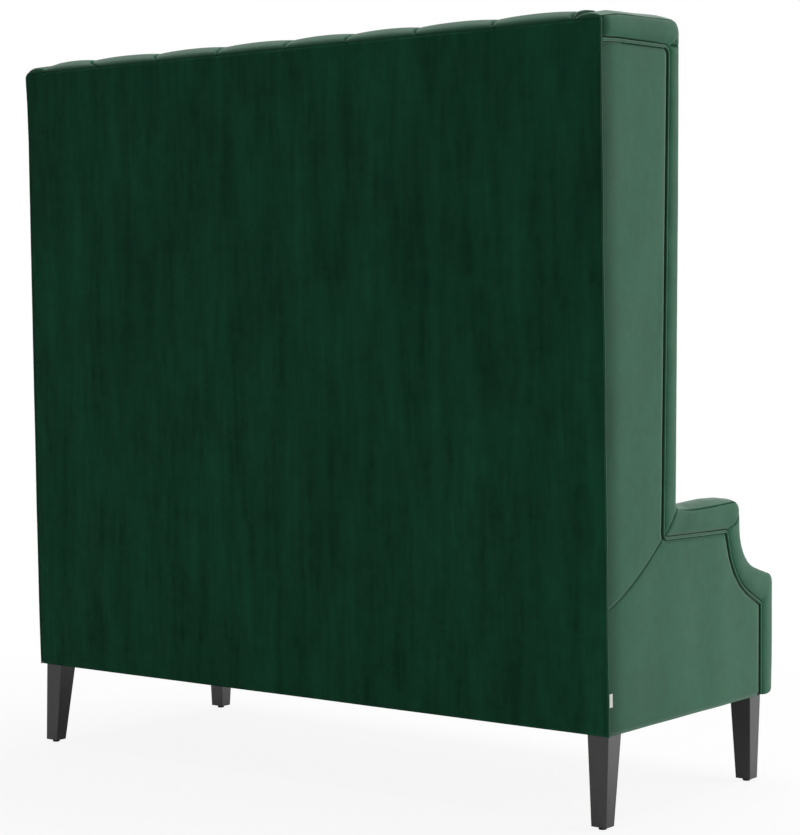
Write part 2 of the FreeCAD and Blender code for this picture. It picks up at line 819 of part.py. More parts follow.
clip_bodies = []
clip_bores = []
for row, y in enumerate((spring_front, spring_rear)):
    for column, x in enumerate(SPRINGS):
        name = "clip_%d_%d" % (row, column)
        clip_bodies.append(box(name, "%.3f - clip_wide / 2" % x, "%.3f - clip_deep / 2" % y,
                               "box_bottom + rail_tall", "clip_wide", "clip_deep", "clip_tall"))
    bore = doc.addObject("Part::Cylinder", "clip_bore_%d" % row)
    bind(bore, Radius="spring_wire / 2 + bolt_play", Height="8 * spring_gap")
    turned = FreeCAD.Rotation(Vector(0, 1, 0), 90)
    bore.Placement = FreeCAD.Placement(Vector(-4 * size("spring_gap"), y, wire_height), turned)
    clip_bores.append(bore)
blanks = doc.addObject("Part::Compound", "clip_blanks")
blanks.Links = clip_bodies
bores = doc.addObject("Part::Compound", "clip_bores")
bores.Links = clip_bores
cut("spring_clips", blanks, bores)

deck_half = "(inner_face - 1)"
deck_low = "box_bottom + rail_tall + clip_tall + layer_play"
keep(box("seat_insulator", "-" + deck_half, "-rail_front", deck_low,
         "2 * " + deck_half, "rail_front + seat_rear", "insulator_thick"), "seat_insulator")
keep(box("seat_platform", "-" + deck_half, "-rail_front", deck_low + " + insulator_thick",
         "2 * " + deck_half, "rail_front + seat_rear", "platform_thick"), "seat_platform")
platform_top = size("box_bottom") + size("platform_rise")

# black cloth under the frame, notched round the legs
cloth = box("dust_cloth", "-(panel_face - panel_thick)", "-rail_front", "box_bottom - dust_thick",
            "2 * (panel_face - panel_thick)", "rail_front + back_foot - cover_thick - 1", "dust_thick")
notches = []
for hand, side in SIDES:
    for place, low_y, deep in (
            ("rear", "back_foot - leg_back_inset - leg_rear_deep", "leg_rear_deep + leg_back_inset"),
            ("front", "-leg_front_y - leg_front_deep / 2", "leg_front_deep")):
        low_x = from_side(side, "panel_face - leg_notch", "panel_face")
        notches.append(box("dust_notch_%s_%s" % (place, hand), low_x, low_y + " - 1",
                           "box_bottom - 2 * dust_thick", "leg_notch", deep + " + 2", "4 * dust_thick"))
leg_notches = doc.addObject("Part::Compound", "leg_notches")
leg_notches.Links = notches
cut("dust_cover", cloth, leg_notches)

front = doc.addObject("Part::Box", "front_border_blank")
bind(front, Length="2 * (inner_face - layer_play)", Width="front_border_thick", Height="platform_rise")
front_y = -size("rail_front") - size("front_border_thick")
front.Placement.Base = Vector(-half_back, front_y, size("box_bottom"))
doc.recompute()
rolled = doc.addObject("Part::Fillet", "front_border")
rolled.Base = front
roll_radius = size("front_border_round")
rolled_edges = []
for number, edge in enumerate(front.Shape.Edges, start=1):
    middle = edge.BoundBox.Center
    if abs(middle.x) < 1 and middle.y < -size("rail_front") - 1:
        rolled_edges.append((number, roll_radius, roll_radius))
rolled.Edges = rolled_edges
keep(rolled, "front_border")

# loose seat cushion


def cushion_ring(height, shrink, draw):
    """Plan of the cushion at a height: drawn-in sides between four rounded corners."""
    half = size("cushion_half") - shrink
    front_y = -size("cushion_front") + shrink
    rear_y = size("cushion_rear") - shrink
    bend = max(size("cushion_corner") - shrink / 2, size("cushion_least_corner"))
    slant = bend * (1.0 - math.sqrt(0.5))
    edges = []
    corners = [(-half, front_y), (half, front_y), (half, rear_y), (-half, rear_y)]
    for i, (x, y) in enumerate(corners):
        way_x = 1 if x < 0 else -1
        way_y = 1 if y == front_y else -1
        beside = Vector(x + way_x * bend, y, height)
        along = Vector(x, y + way_y * bend, height)
        middle = Vector(x + way_x * slant, y + way_y * slant, height)
        enter, leave = (along, beside) if i % 2 == 0 else (beside, along)
        edges.append(Part.Arc(enter, middle, leave).toShape())
        following = corners[(i + 1) % 4]
        next_x = 1 if following[0] < 0 else -1
        next_y = 1 if following[1] == front_y else -1
        if i % 2 == 0:
            after = Vector(following[0] + next_x * bend, following[1], height)
            inward = Vector(0, next_y * draw, 0)
        else:
            after = Vector(following[0], following[1] + next_y * bend, height)
            inward = Vector(next_x * draw, 0, 0)
        edges.append(Part.Arc(leave, (leave + after) * 0.5 + inward, after).toShape())
    return Part.Wire(edges)


cushion_foot = platform_top + size("cushion_lift")
seam_low = cushion_foot + size("cushion_seam_in")
seam_high = cushion_foot + size("cushion_side") - size("cushion_seam_in")
crown = cushion_foot + size("cushion_side")
rise = size("cushion_crown")
draw = size("cushion_draw")
# height, how far inside the seams, and how far the sides are drawn in
CUSHION_RINGS = [
    (cushion_foot, size("cushion_foot_in"), draw),
    (cushion_foot + 6.0, 8.0, draw),
    (seam_low, 0.0, draw),
    ((seam_low + seam_high) / 2, -size("cushion_bulge"), draw + 1.0),
    (seam_high, 0.0, draw),
    (seam_high + 9.0, 14.0, draw),
    (crown + rise * 0.35, 60.0, draw),
    (crown + rise * 0.8, 130.0, draw),
    (crown + rise, 210.0, draw),
]
cushion = doc.addObject("Part::Feature", "seat_cushion")
cushion.Shape = Part.makeLoft([cushion_ring(*ring) for ring in CUSHION_RINGS], True, True)
keep(cushion, "seat_cushion")


def cushion_welt(height):
    """Piped cord round the cushion at one of its two seams, halfway along the drawn-in sides."""
    half = size("cushion_half") - draw / 2
    low_y, high_y = draw / 2 - size("cushion_front"), size("cushion_rear") - draw / 2
    bend = size("cushion_corner")
    corners = [(half, high_y, bend), (-half, high_y, bend), (-half, low_y, bend), (half, low_y, bend)]
    path = Part.Wire([curve.toShape() for curve in rounded(corners)])
    path.translate(Vector(0, 0, height))
    first = path.OrderedEdges[1]
    start = first.valueAt(first.FirstParameter)
    ring = Part.Circle(start, first.tangentAt(first.FirstParameter), size("cushion_welt"))
    edges = path.OrderedEdges
    loop = Part.Wire(edges[1:] + edges[:1])
    return loop.makePipeShell([Part.Wire(ring.toShape())], True, False)


welts = doc.addObject("Part::Feature", "seat_cushion_welts")
welts.Shape = Part.makeCompound([cushion_welt(seam_low), cushion_welt(seam_high)])
keep(welts, "seat_cushion_welts")

# legs, their bolts and glides


def centred_rectangle(sketch, wide, deep):
    """Rectangle about the sketch's origin, held by its two sizes."""
    start_size = 10.0
    corners = [(-start_size, -start_size), (start_size, -start_size),
               (start_size, start_size), (-start_size, start_size)]
    for start, end in zip(corners, corners[1:] + corners[:1]):
        sketch.addGeometry(Part.LineSegment(Vector(*start, 0), Vector(*end, 0)), False)
    for line in range(4):
        sketch.addConstraint(Sketcher.Constraint("Coincident", line, 2, (line + 1) % 4, 1))
    for line in (0, 2):
        sketch.addConstraint(Sketcher.Constraint("Horizontal", line))
    for line in (1, 3):
        sketch.addConstraint(Sketcher.Constraint("Vertical", line))
    sketch.addConstraint(Sketcher.Constraint("Symmetric", 0, 1, 2, 1, -1, 1))
    for name, line, kind, words in (("wide", 0, "DistanceX", wide), ("deep", 1, "DistanceY", deep)):
        place = sketch.addConstraint(Sketcher.Constraint(kind, line, 1, line, 2, 2 * start_size))
        sketch.renameConstraint(place, name)
        sketch.setExpression("Constraints." + name, formula(words))


def leg(label, x, y, deep, foot_deep, kick, splay, bolt_x):
    """Tapered hardwood leg, with a blind hole for its bolt. Placed by the middle of its top."""
    body = new_body(label)
    top = sketch_on(body, "XY_Plane", label + "_top", [], "box_bottom")
    centred_rectangle(top, "leg_top_wide", deep)
    foot = sketch_on(body, "XY_Plane", label + "_foot", [], "glide_tall")
    centred_rectangle(foot, "leg_foot_wide", foot_deep)
    bind(foot, AttachmentOffset__Base__x=splay, AttachmentOffset__Base__y=kick)
    loft = body.newObject("PartDesign::AdditiveLoft", label + "_loft")
    loft.Profile = top
    loft.Sections = [foot]
    doc.recompute()
    half_tall = (size("box_bottom") - size("glide_tall")) / 2
    round_over(body, "leg_arris", lambda edge: edge.BoundBox.ZLength > half_tall)
    bore = size("bolt_radius") + size("bolt_play")
    ring = Part.Circle(Vector(bolt_x - x, 0, 0), Vector(0, 0, 1), bore)
    mouth = sketch_on(body, "XY_Plane", label + "_bolt", [ring], "box_bottom")
    hole = body.newObject("PartDesign::Pocket", label + "_hole")
    hole.Profile = mouth
    bind(hole, Length="bolt_in_leg + 1")
    before = body.Shape.Volume
    doc.recompute()
    if body.Shape.Volume >= before:
        raise RuntimeError("the bolt hole is outside " + label)
    body.Placement.Base = Vector(x, y, 0)
    return body


def upright(name, x, y, low, radius, tall):
    rod = doc.addObject("Part::Cylinder", name)
    bind(rod, Radius=radius, Height=tall)
    bind(rod, Placement__Base__z=low)
    rod.Placement.Base = Vector(x, y, rod.Placement.Base.z)
    return rod


bolts = []
glides = []
leg_x = size("panel_face") - size("leg_side_inset") - size("leg_top_wide") / 2
for hand, side in SIDES:
    sign = "" if side == LEFT else "-"
    for place, y in (("rear", rear_bolt_y), ("front", -size("leg_front_y"))):
        name = "leg_%s_%s" % (place, hand)
        row = "leg_%s_" % place
        x = side * leg_x
        bolt_x = side * size("bolt_place")
        leg(name, x, y, row + "deep", row + "foot", row + "kick", sign + row + "splay", bolt_x)
        bolts.append(upright(name + "_bolt_rod", bolt_x, y, "box_bottom - bolt_in_leg",
                             "bolt_radius", "bolt_in_leg + bolt_in_frame"))
        foot_x = x + side * size(row + "splay")
        foot_y = y + size(row + "kick")
        glides.append(upright(name + "_glide", foot_x, foot_y, "0", "glide_radius", "glide_tall"))
group("leg_bolts", bolts)
group("leg_glides", glides)

# front uprights under the arms, bored for the front leg bolts
for hand, side in SIDES:
    stump = slab("arm_front_post_" + hand, side, core(size("stump_play")), STUMP, *TIMBER)
    ring = Part.Circle(Vector(side * size("bolt_place"), -size("leg_front_y"), 0), Vector(0, 0, 1),
                       size("bolt_radius") + size("bolt_play"))
    mouth = sketch_on(stump, "XY_Plane", stump.Name + "_bolt", [ring], "box_bottom")
    hole = stump.newObject("PartDesign::Pocket", stump.Name + "_hole")
    hole.Profile = mouth
    bind(hole, Length="bolt_in_frame + 1")
    hole.Reversed = True
    before = stump.Shape.Volume
    doc.recompute()
    if stump.Shape.Volume >= before:
        raise RuntimeError("the bolt hole is outside " + stump.Label)

low = (-size("panel_face") - size("tab_thick"), size("tab_in"), size("tab_up") - size("box_bottom"))
keep(leaning_box("seam_tab", low, "tab_thick", "tab_wide", "tab_tall"), "seam_tab")

# check every object, then write one file for each sub-part

doc.recompute()
for thing in doc.Objects:
    if "Invalid" in thing.State or "Error" in thing.State:
        raise RuntimeError("%s did not build" % thing.Label)
os.makedirs("parts", exist_ok=True)
for label, thing in nodes.items():
    shape = thing.Shape
    if shape.isNull() or not shape.isValid() or shape.Volume <= 0:
        raise RuntimeError("%s has no sound shape" % label)
    shape.exportStep("parts/%s.step" % label)
print("%d sub-parts written" % len(nodes))
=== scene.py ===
import math

import bmesh
import bpy
import numpy as np
from mathutils import Matrix, Vector
from mathutils.bvhtree import BVHTree


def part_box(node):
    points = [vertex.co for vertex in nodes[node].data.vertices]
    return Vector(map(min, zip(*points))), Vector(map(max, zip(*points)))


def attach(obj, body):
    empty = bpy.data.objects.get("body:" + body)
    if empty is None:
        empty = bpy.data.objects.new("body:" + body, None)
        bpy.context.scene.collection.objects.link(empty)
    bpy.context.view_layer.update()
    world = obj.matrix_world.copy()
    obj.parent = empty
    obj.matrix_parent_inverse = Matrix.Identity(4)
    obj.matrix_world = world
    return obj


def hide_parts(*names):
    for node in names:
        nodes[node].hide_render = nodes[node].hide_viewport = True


# High back settee. X runs across the width, the front faces -Y and Z is up, in metres.
# The left side is at +X, as for a person who sits on it, and the right side at -X.

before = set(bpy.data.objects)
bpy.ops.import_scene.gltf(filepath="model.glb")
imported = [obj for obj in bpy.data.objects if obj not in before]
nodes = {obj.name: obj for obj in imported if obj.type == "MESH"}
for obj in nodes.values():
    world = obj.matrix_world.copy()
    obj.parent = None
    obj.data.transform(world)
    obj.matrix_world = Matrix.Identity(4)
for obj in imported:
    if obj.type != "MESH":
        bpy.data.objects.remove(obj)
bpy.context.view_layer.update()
scene = bpy.context.scene
SIDES = (("left", 1.0), ("right", -1.0))

# sizes shared with the frame, in metres
BOX_BOTTOM = 0.190
BACK_TOP = 1.600
BACK_FOOT = 0.319
BACK_RISE = 1.410
BACK_LEAN = 0.028
COVER = 0.004
PANEL_FACE = 0.806
PANEL_FOOT = 0.1885
PAD_FACE = 0.047
CROWN_TOP = 1.6275

# above this mark a face takes the sheenless dark velvet, painted shade in the bottom of a seam or fold
SEAM_SHADE_LIMIT = 0.55
WHITE = (1.0, 1.0, 1.0, 1.0)

lean = math.atan2(BACK_LEAN, BACK_RISE)


def back_y(height, depth=0.0):
    """Y of the plane that lies depth in front of the leaning back face."""
    return BACK_FOOT + (height - BOX_BOTTOM) * math.tan(lean) - depth / math.cos(lean)


# outer seam of wing and arm in the side view, from the rear top to the front foot: Y, Z, radius
EDGE_SEAM = [
    (back_y(1.6008, 0.0008), 1.6008, 0.0),
    (back_y(1.6060, 0.0008), 1.6060, 0.004),
    (0.2850, 1.6125, 0.060),
    (0.0516, 1.6215, 0.024),
    (0.0613, 0.622, 0.020),
    (-0.2015, 0.622, 0.022),
    (-0.2045, 0.4895, 0.100),
    (-0.3485, 0.4495, 0.020),
    (-0.3485, 0.1895, 0.012),
    (-0.3255, 0.1895, 0.0),
]
# welt line, corner for corner with the outer seam
WELT_LINE = [
    (back_y(1.554, 0.0045), 1.5540, 0.0),
    (back_y(1.558, 0.0045), 1.5580, 0.001),
    (0.2850, 1.5618, 0.060),
    (0.092, 1.5655, 0.017),
    (0.1116, 0.566, 0.014),
    (-0.147, 0.561, 0.008),
    (-0.181, 0.450, 0.170),
    (-0.297, 0.392, 0.008),
    (-0.297, 0.1915, 0.001),
    (-0.294, 0.1905, 0.0),
]
TOP_BEND, TOP_CORNER, ARM_ROOT, ARM_NOSE = 2, 3, 4, 5
JOIN_REAR = 0.4385
JOIN_SAG = 0.0120

# meshes


def grid_quads(rows, columns, ring=False):
    index = np.arange(rows * columns).reshape(rows, columns)
    if ring:
        index = np.concatenate([index, index[:, :1]], axis=1)
    corners = [index[:-1, :-1], index[1:, :-1], index[1:, 1:], index[:-1, 1:]]
    return np.stack(corners, axis=-1).reshape(-1, 4).tolist()


def make_piece(name, points, faces, material, seam=None, crisp=50.0, weld=1e-6):
    """A smooth shaded mesh with its faces outwards. The seam mark runs from 0 to 1 towards the bottom of a
    seam or fold and is painted shade; faces marked above the limit take the sheenless dark seam velvet, also
    painted shade.
    """
    mesh = bpy.data.meshes.new(name)
    mesh.from_pydata(np.asarray(points).tolist(), [], faces)
    if seam is not None:
        layer = mesh.attributes.new("seam", "FLOAT", "POINT")
        layer.data.foreach_set("value", np.asarray(seam, dtype=np.float32))
    shell = bmesh.new()
    shell.from_mesh(mesh)
    bmesh.ops.remove_doubles(shell, verts=shell.verts, dist=weld)
    bmesh.ops.recalc_face_normals(shell, faces=shell.faces)
    shell.to_mesh(mesh)
    shell.free()
    mesh.shade_smooth()
    mesh.set_sharp_from_angle(angle=math.radians(crisp))
    mesh.materials.append(material)
    if seam is not None:
        marks = np.zeros(len(mesh.vertices), dtype=np.float32)
        mesh.attributes["seam"].data.foreach_get("value", marks)
        # faces deep in a seam or fold take the sheenless dark velvet: painted shade
        dark = [max(marks[i] for i in face.vertices) > SEAM_SHADE_LIMIT for face in mesh.polygons]
        if any(dark):
            mesh.materials.append(velvet_seam)
            mesh.polygons.foreach_set("material_index", np.array(dark, dtype=np.int32))
    piece = bpy.data.objects.new(name, mesh)
    scene.collection.objects.link(piece)
    return piece


def slab(name, front, back, material, seam=None, crisp=50.0):
    """Closed shell between two grids of the same size."""
    rows, columns = front.shape[:2]
    count = rows * columns
    points = np.concatenate([front.reshape(-1, 3), back.reshape(-1, 3)])
    quads = grid_quads(rows, columns)
    index = np.arange(count).reshape(rows, columns)
    rim = np.concatenate([index[0, :], index[1:, -1], index[-1, -2::-1], index[-2:0:-1, 0]])
    rim = np.append(rim, rim[0])
    walls = [[int(a), int(b), int(b) + count, int(a) + count] for a, b in zip(rim, rim[1:])]
    far = [[i + count for i in reversed(quad)] for quad in quads]
    marks = None
    if seam is not None:
        marks = np.concatenate([seam.reshape(-1), np.zeros(count)])
    return make_piece(name, points, quads + far + walls, material, marks, crisp)


def sweep(name, sections, material, seam=None, crisp=50.0):
    """Closed tube through sections, each a ring of points, with a fan of faces at each end."""
    stations, ring = sections.shape[:2]
    faces = grid_quads(stations, ring, ring=True)
    points = sections.reshape(-1, 3)
    for start in (0, (stations - 1) * ring):
        faces += [[start + i, start + (i + 1) % ring, len(points)] for i in range(ring)]
        points = np.vstack([points, points[start:start + ring].mean(axis=0)])
    marks = None
    if seam is not None:
        marks = np.concatenate([seam.reshape(-1), [seam[0].max(), seam[-1].max()]])
    return make_piece(name, points, faces, material, marks, crisp)


def smooth_step(low, high, value):
    part = np.clip((value - low) / (high - low), 0.0, 1.0)
    return part * part * (3.0 - 2.0 * part)


def dip(distance, width):
    return np.exp(-(distance / width) ** 2)


def pillow(part, power):
    """Puffed profile over 0 to 1: zero at both ends, steep beside them and flat between."""
    return (1.0 - np.abs(2.0 * np.clip(part, 0.0, 1.0) - 1.0) ** power) ** (1.0 / power)


def drift(u, v, seed, size, waves=6):
    """Slow random unevenness of stretched cloth, about -1 to 1."""
    rng = np.random.default_rng(seed)
    total = np.zeros(np.broadcast(u, v).shape)
    for _ in range(waves):
        angle, phase = rng.uniform(0.0, 2.0 * math.pi, 2)
        pace = 2.0 * math.pi / (size * rng.uniform(0.6, 1.8))
        total = total + np.sin(pace * (u * math.cos(angle) + v * math.sin(angle)) + phase)
    return total / waves * 1.6


def to_segment(points, start, end):
    """Distance of points from a straight line piece, all in the side view."""
    start, end = np.array(start), np.array(end)
    along = end - start
    part = np.clip(((points - start) @ along) / (along @ along), 0.0, 1.0)
    return np.linalg.norm(points - (start + part[..., None] * along), axis=-1)


def to_line(points, line):
    """Distance of points from a line of many pieces."""
    flat = points.reshape(-1, points.shape[-1])
    nearest = np.full(len(flat), 1e9)
    for start, end in zip(line, line[1:]):
        if np.linalg.norm(end - start) > 1e-9:
            nearest = np.minimum(nearest, to_segment(flat, start, end))
    return nearest.reshape(points.shape[:-1])


def side_points(x, flat):
    """Points of the side view, Y and Z, put at X."""
    return np.concatenate([np.asarray(x)[..., None], flat], axis=-1)


# the rounded seam lines of a side


def line_parts(corners, leg_counts, arc_count):
    """Points of an open rounded line, the corner or leg that each belongs to, and its share of it."""
    corners = [np.array(corner, float) for corner in corners]
    arcs = []
    for i, corner in enumerate(corners):
        here, radius = corner[:2], corner[2]
        if radius <= 0.0:
            arcs.append((here, None, 0.0, 0.0, 0.0, here))
            continue
        back = corners[i - 1][:2] - here
        onward = corners[i + 1][:2] - here
        back /= np.linalg.norm(back)
        onward /= np.linalg.norm(onward)
        half = math.acos(float(back @ onward)) / 2.0
        reach = radius / math.tan(half)
        bisector = (back + onward) / np.linalg.norm(back + onward)
        centre = here + bisector * radius / math.sin(half)
        start, end = here + back * reach, here + onward * reach
        first = math.atan2(*(start - centre)[::-1])
        last = math.atan2(*(end - centre)[::-1])
        turn = (last - first + math.pi) % (2.0 * math.pi) - math.pi
        arcs.append((start, centre, radius, first, turn, end))
    points, places = [], []
    for i, (start, centre, radius, first, turn, end) in enumerate(arcs):
        if centre is not None:
            for part in np.linspace(0.0, 1.0, arc_count):
                angle = first + turn * part
                points.append(centre + radius * np.array([math.cos(angle), math.sin(angle)]))
                places.append((i, part, 1.0))
        else:
            points.append(start)
            places.append((i, 0.0, 1.0))
        if i + 1 < len(arcs):
            onward = arcs[i + 1][0]
            for part in np.linspace(0.0, 1.0, leg_counts[i] + 2)[1:-1]:
                points.append(end + (onward - end) * part)
                places.append((i, part, 0.0))
    return np.array(points), np.array(places)


STATION = 0.0030
ARC_POINTS = 13
LEG_COUNTS = []
for here, following in zip(EDGE_SEAM, EDGE_SEAM[1:]):
    run = math.dist(here[:2], following[:2])
    LEG_COUNTS.append(max(1, int(run / STATION)))
EDGE, PLACES = line_parts(EDGE_SEAM, LEG_COUNTS, ARC_POINTS)
WELT = line_parts(WELT_LINE, LEG_COUNTS, ARC_POINTS)[0]


def run_of(points):
    """Length of a line up to each of its points."""
    return np.concatenate([[0.0], np.cumsum(np.linalg.norm(np.diff(points, axis=0), axis=1))])


def arc_middle(corner):
    return int(np.flatnonzero((PLACES[:, 0] == corner) & (PLACES[:, 2] == 1.0))[ARC_POINTS // 2])


def outward_normals(line):
    """Unit normals of the outer seam in the side view, away from the wing and arm."""
    tangent = np.gradient(line, axis=0)
    tangent /= np.linalg.norm(tangent, axis=1)[:, None] + 1e-12
    return np.stack([tangent[:, 1], -tangent[:, 0]], axis=1)


OUTWARD = outward_normals(EDGE)

# how far the top and front panels stand above the nominal line, along each leg of it
CROWNS = {
    0: ([0.0, 1.0], [0.0000, 0.0020]),
    1: ([0.0, 1.0], [0.0055, 0.0096]),
    2: ([0.0, 0.20, 0.5, 0.85, 1.0], [0.0096, 0.0098, 0.0098, 0.0105, 0.0085]),
    3: ([0.0, 0.03, 0.97, 1.0], [0.0050, 0.0058, 0.0064, 0.0060]),
    4: ([0.0, 0.16, 0.25, 0.38, 0.56, 0.84, 1.0],
        [0.0050, 0.0062, 0.0085, 0.0102, 0.0112, 0.0102, 0.0060]),
    5: ([0.0, 1.0], [0.0045, 0.0060]),
    6: ([0.0, 1.0], [0.0052, 0.0048]),
    7: ([0.0, 0.2, 1.0], [0.0030, 0.0045, 0.0045]),
    8: ([0.0, 1.0], [0.0020, 0.0000]),
}
# how far the outer seam lies below the nominal line
SINKS = {
    0: ([0.0, 1.0], [0.0005, 0.0025]),
    1: ([0.0, 1.0], [0.0030, 0.0005]),
    2: ([0.0, 0.2, 1.0], [0.0005, 0.0000, 0.0005]),
    3: ([0.0, 0.35, 0.6, 1.0], [0.0005, -0.0010, 0.0000, 0.0010]),
    4: ([0.0, 0.16, 0.30, 0.60, 0.9, 1.0], [0.0010, 0.0052, 0.0062, 0.0050, 0.0020, 0.0012]),
    5: ([0.0, 1.0], [0.0004, 0.0000]),
    6: ([0.0, 1.0], [0.0000, 0.0000]),
    7: ([0.0, 0.75, 1.0], [0.0003, 0.0003, 0.0030]),
    8: ([0.0, 1.0], [0.0020, 0.0000]),
}


def along_edge(table):
    """Values of a table along the outer seam, blended round its corners."""
    heights = np.zeros(len(EDGE))
    for k, (leg, part, on_arc) in enumerate(PLACES):
        leg = int(leg)
        if not on_arc:
            heights[k] = np.interp(part, *table[leg])
        else:
            before = table[leg - 1][1][-1] if leg > 0 else 0.0
            after = table[leg][1][0] if leg in table else 0.0
            heights[k] = before + (after - before) * part
    kernel = np.hanning(9)
    padded = np.pad(heights, 4, mode="edge")
    return np.convolve(padded, kernel / kernel.sum(), mode="valid")


CROWN = along_edge(CROWNS)
SUNK = along_edge(SINKS)

# materials


class Shading:
    """Adds nodes to a material or a node group, and joins them."""

    def __init__(self, tree):
        self.tree = tree

    def add(self, kind, inputs=None, **settings):
        node = self.tree.nodes.new(kind)
        for name, value in settings.items():
            setattr(node, name, value)
        for name, value in (inputs or {}).items():
            self.feed(node.inputs[name], value)
        return node

    def feed(self, socket, value):
        if isinstance(value, bpy.types.NodeSocket):
            self.tree.links.new(value, socket)
        else:
            socket.default_value = value

    def math(self, operation, first, second=0.0, third=0.0):
        node = self.add("ShaderNodeMath", operation=operation)
        for place, value in enumerate((first, second, third)):
            self.feed(node.inputs[place], value)
        return node.outputs[0]

    def mix(self, factor, first, second, blend="MIX"):
        node = self.add("ShaderNodeMix", data_type="RGBA", blend_type=blend)
        self.feed(node.inputs["Factor"], factor)
        self.feed(node.inputs[6], first)
        self.feed(node.inputs[7], second)
        return node.outputs[2]

    def place(self, scale=(1.0, 1.0, 1.0)):
        coordinates = self.add("ShaderNodeTexCoord").outputs["Object"]
        return self.add("ShaderNodeMapping", {"Vector": coordinates, "Scale": scale}).outputs["Vector"]

    def noise(self, vector, scale, detail=2.0, rough=0.5, warp=0.0):
        node = self.add("ShaderNodeTexNoise", {"Vector": vector, "Scale": scale, "Detail": detail,
                                               "Roughness": rough, "Distortion": warp})
        return node.outputs["Fac"]

    def spread(self, value, low, high, out_low=0.0, out_high=1.0):
        node = self.add("ShaderNodeMapRange")
        for name, amount in (("Value", value), ("From Min", low), ("From Max", high),
                             ("To Min", out_low), ("To Max", out_high)):
            self.feed(node.inputs[name], amount)
        return node.outputs["Result"]


def new_group(name, inputs, outputs):
    group = bpy.data.node_groups.new(name, "ShaderNodeTree")
    for label, kind, value in inputs:
        socket = group.interface.new_socket(label, in_out="INPUT", socket_type=kind)
        socket.default_value = value
    for label, kind in outputs:
        group.interface.new_socket(label, in_out="OUTPUT", socket_type=kind)
    shading = Shading(group)
    entry = shading.add("NodeGroupInput")
    leave = shading.add("NodeGroupOutput")
    return group, shading, entry.outputs, leave.inputs


def use_group(shading, group, **inputs):
    node = shading.add("ShaderNodeGroup")
    node.node_tree = group
    for label, value in inputs.items():
        shading.feed(node.inputs[label.replace("_", " ").capitalize()], value)
    return node.outputs


def nap_group():
    """Velvet nap: brushed clouds, hanging streaks, faint weft lines and fine pile."""
    group, shading, given, result = new_group(
        "velvet_nap",
        [("Clouds", "NodeSocketFloat", 0.5), ("Streaks", "NodeSocketFloat", 0.5),
         ("Pile", "NodeSocketFloat", 0.5)],
        [("Shade", "NodeSocketFloat"), ("Height", "NodeSocketFloat"), ("Roughness", "NodeSocketFloat")],
    )
    plain = shading.place()
    hanging = shading.place(scale=(16.0, 9.0, 2.4))
    narrow = shading.place(scale=(70.0, 40.0, 9.0))
    cloud = shading.spread(shading.noise(plain, 7.0, 3.0, 0.6, 0.4), 0.3, 0.7)
    brushed = shading.spread(shading.noise(plain, 38.0, 2.0, 0.55, 0.8), 0.3, 0.7)
    streak = shading.spread(shading.noise(hanging, 1.0, 2.0, 0.6, 0.2), 0.3, 0.7)
    thin = shading.spread(shading.noise(narrow, 1.0, 2.0, 0.5, 0.1), 0.3, 0.7)
    soft = shading.math("ADD", shading.math("MULTIPLY", cloud, 0.65), shading.math("MULTIPLY", brushed, 0.35))
    hung = shading.math("ADD", shading.math("MULTIPLY", streak, 0.65), shading.math("MULTIPLY", thin, 0.35))
    soft = shading.math("MULTIPLY", shading.math("SUBTRACT", soft, 0.5), given["Clouds"])
    hung = shading.math("MULTIPLY", shading.math("SUBTRACT", hung, 0.5), given["Streaks"])
    fine = shading.noise(plain, 620.0, 2.0, 0.6)
    pile_share = shading.math("MULTIPLY", given["Pile"], 0.35)
    speck = shading.math("MULTIPLY", shading.math("SUBTRACT", fine, 0.5), pile_share)
    shade = shading.math("ADD", shading.math("ADD", shading.math("ADD", soft, hung), speck), 0.5)
    weft = shading.add("ShaderNodeTexWave", {"Vector": plain, "Scale": 180.0, "Distortion": 1.4,
                                             "Detail": 1.0}, bands_direction="Z")
    ribs = shading.math("MULTIPLY", weft.outputs["Fac"], 0.16)
    pile = shading.math("ADD", shading.math("MULTIPLY", fine, 0.8), ribs)
    lying = shading.math("MULTIPLY", brushed, 0.5)
    shading.feed(result["Shade"], shading.math("MINIMUM", shading.math("MAXIMUM", shade, 0.0), 1.0))
    shading.feed(result["Height"], shading.math("ADD", shading.math("MULTIPLY", pile, given["Pile"]), lying))
    shading.feed(result["Roughness"], shading.spread(cloud, 0.0, 1.0, 0.86, 0.98))
    return group


def thread_group():
    """Plain weave: threads over and under in two directions, with slubs and gaps."""
    group, shading, given, result = new_group(
        "woven_threads",
        [("Threads", "NodeSocketFloat", 300.0), ("Slub", "NodeSocketFloat", 0.3)],
        [("Height", "NodeSocketFloat"), ("Shade", "NodeSocketFloat")],
    )
    plain = shading.place()
    split = shading.add("ShaderNodeSeparateXYZ", {"Vector": plain})
    waver = shading.math("MULTIPLY", shading.noise(plain, 40.0), shading.math("MULTIPLY", given["Slub"], 3.0))
    waves = []
    for axis in ("X", "Z", "Y"):
        angle = shading.math("ADD", shading.math("MULTIPLY", split.outputs[axis], given["Threads"]), waver)
        waves.append(shading.math("ABSOLUTE", shading.math("SINE", angle)))
    height = shading.math("MAXIMUM", shading.math("MAXIMUM", waves[0], waves[1]), waves[2])
    fuzz = shading.noise(plain, 160.0, 3.0, 0.7)
    shade = shading.math("ADD", shading.math("MULTIPLY", height, 0.6), shading.math("MULTIPLY", fuzz, 0.4))
    shading.feed(result["Height"], height)
    shading.feed(result["Shade"], shade)
    return group


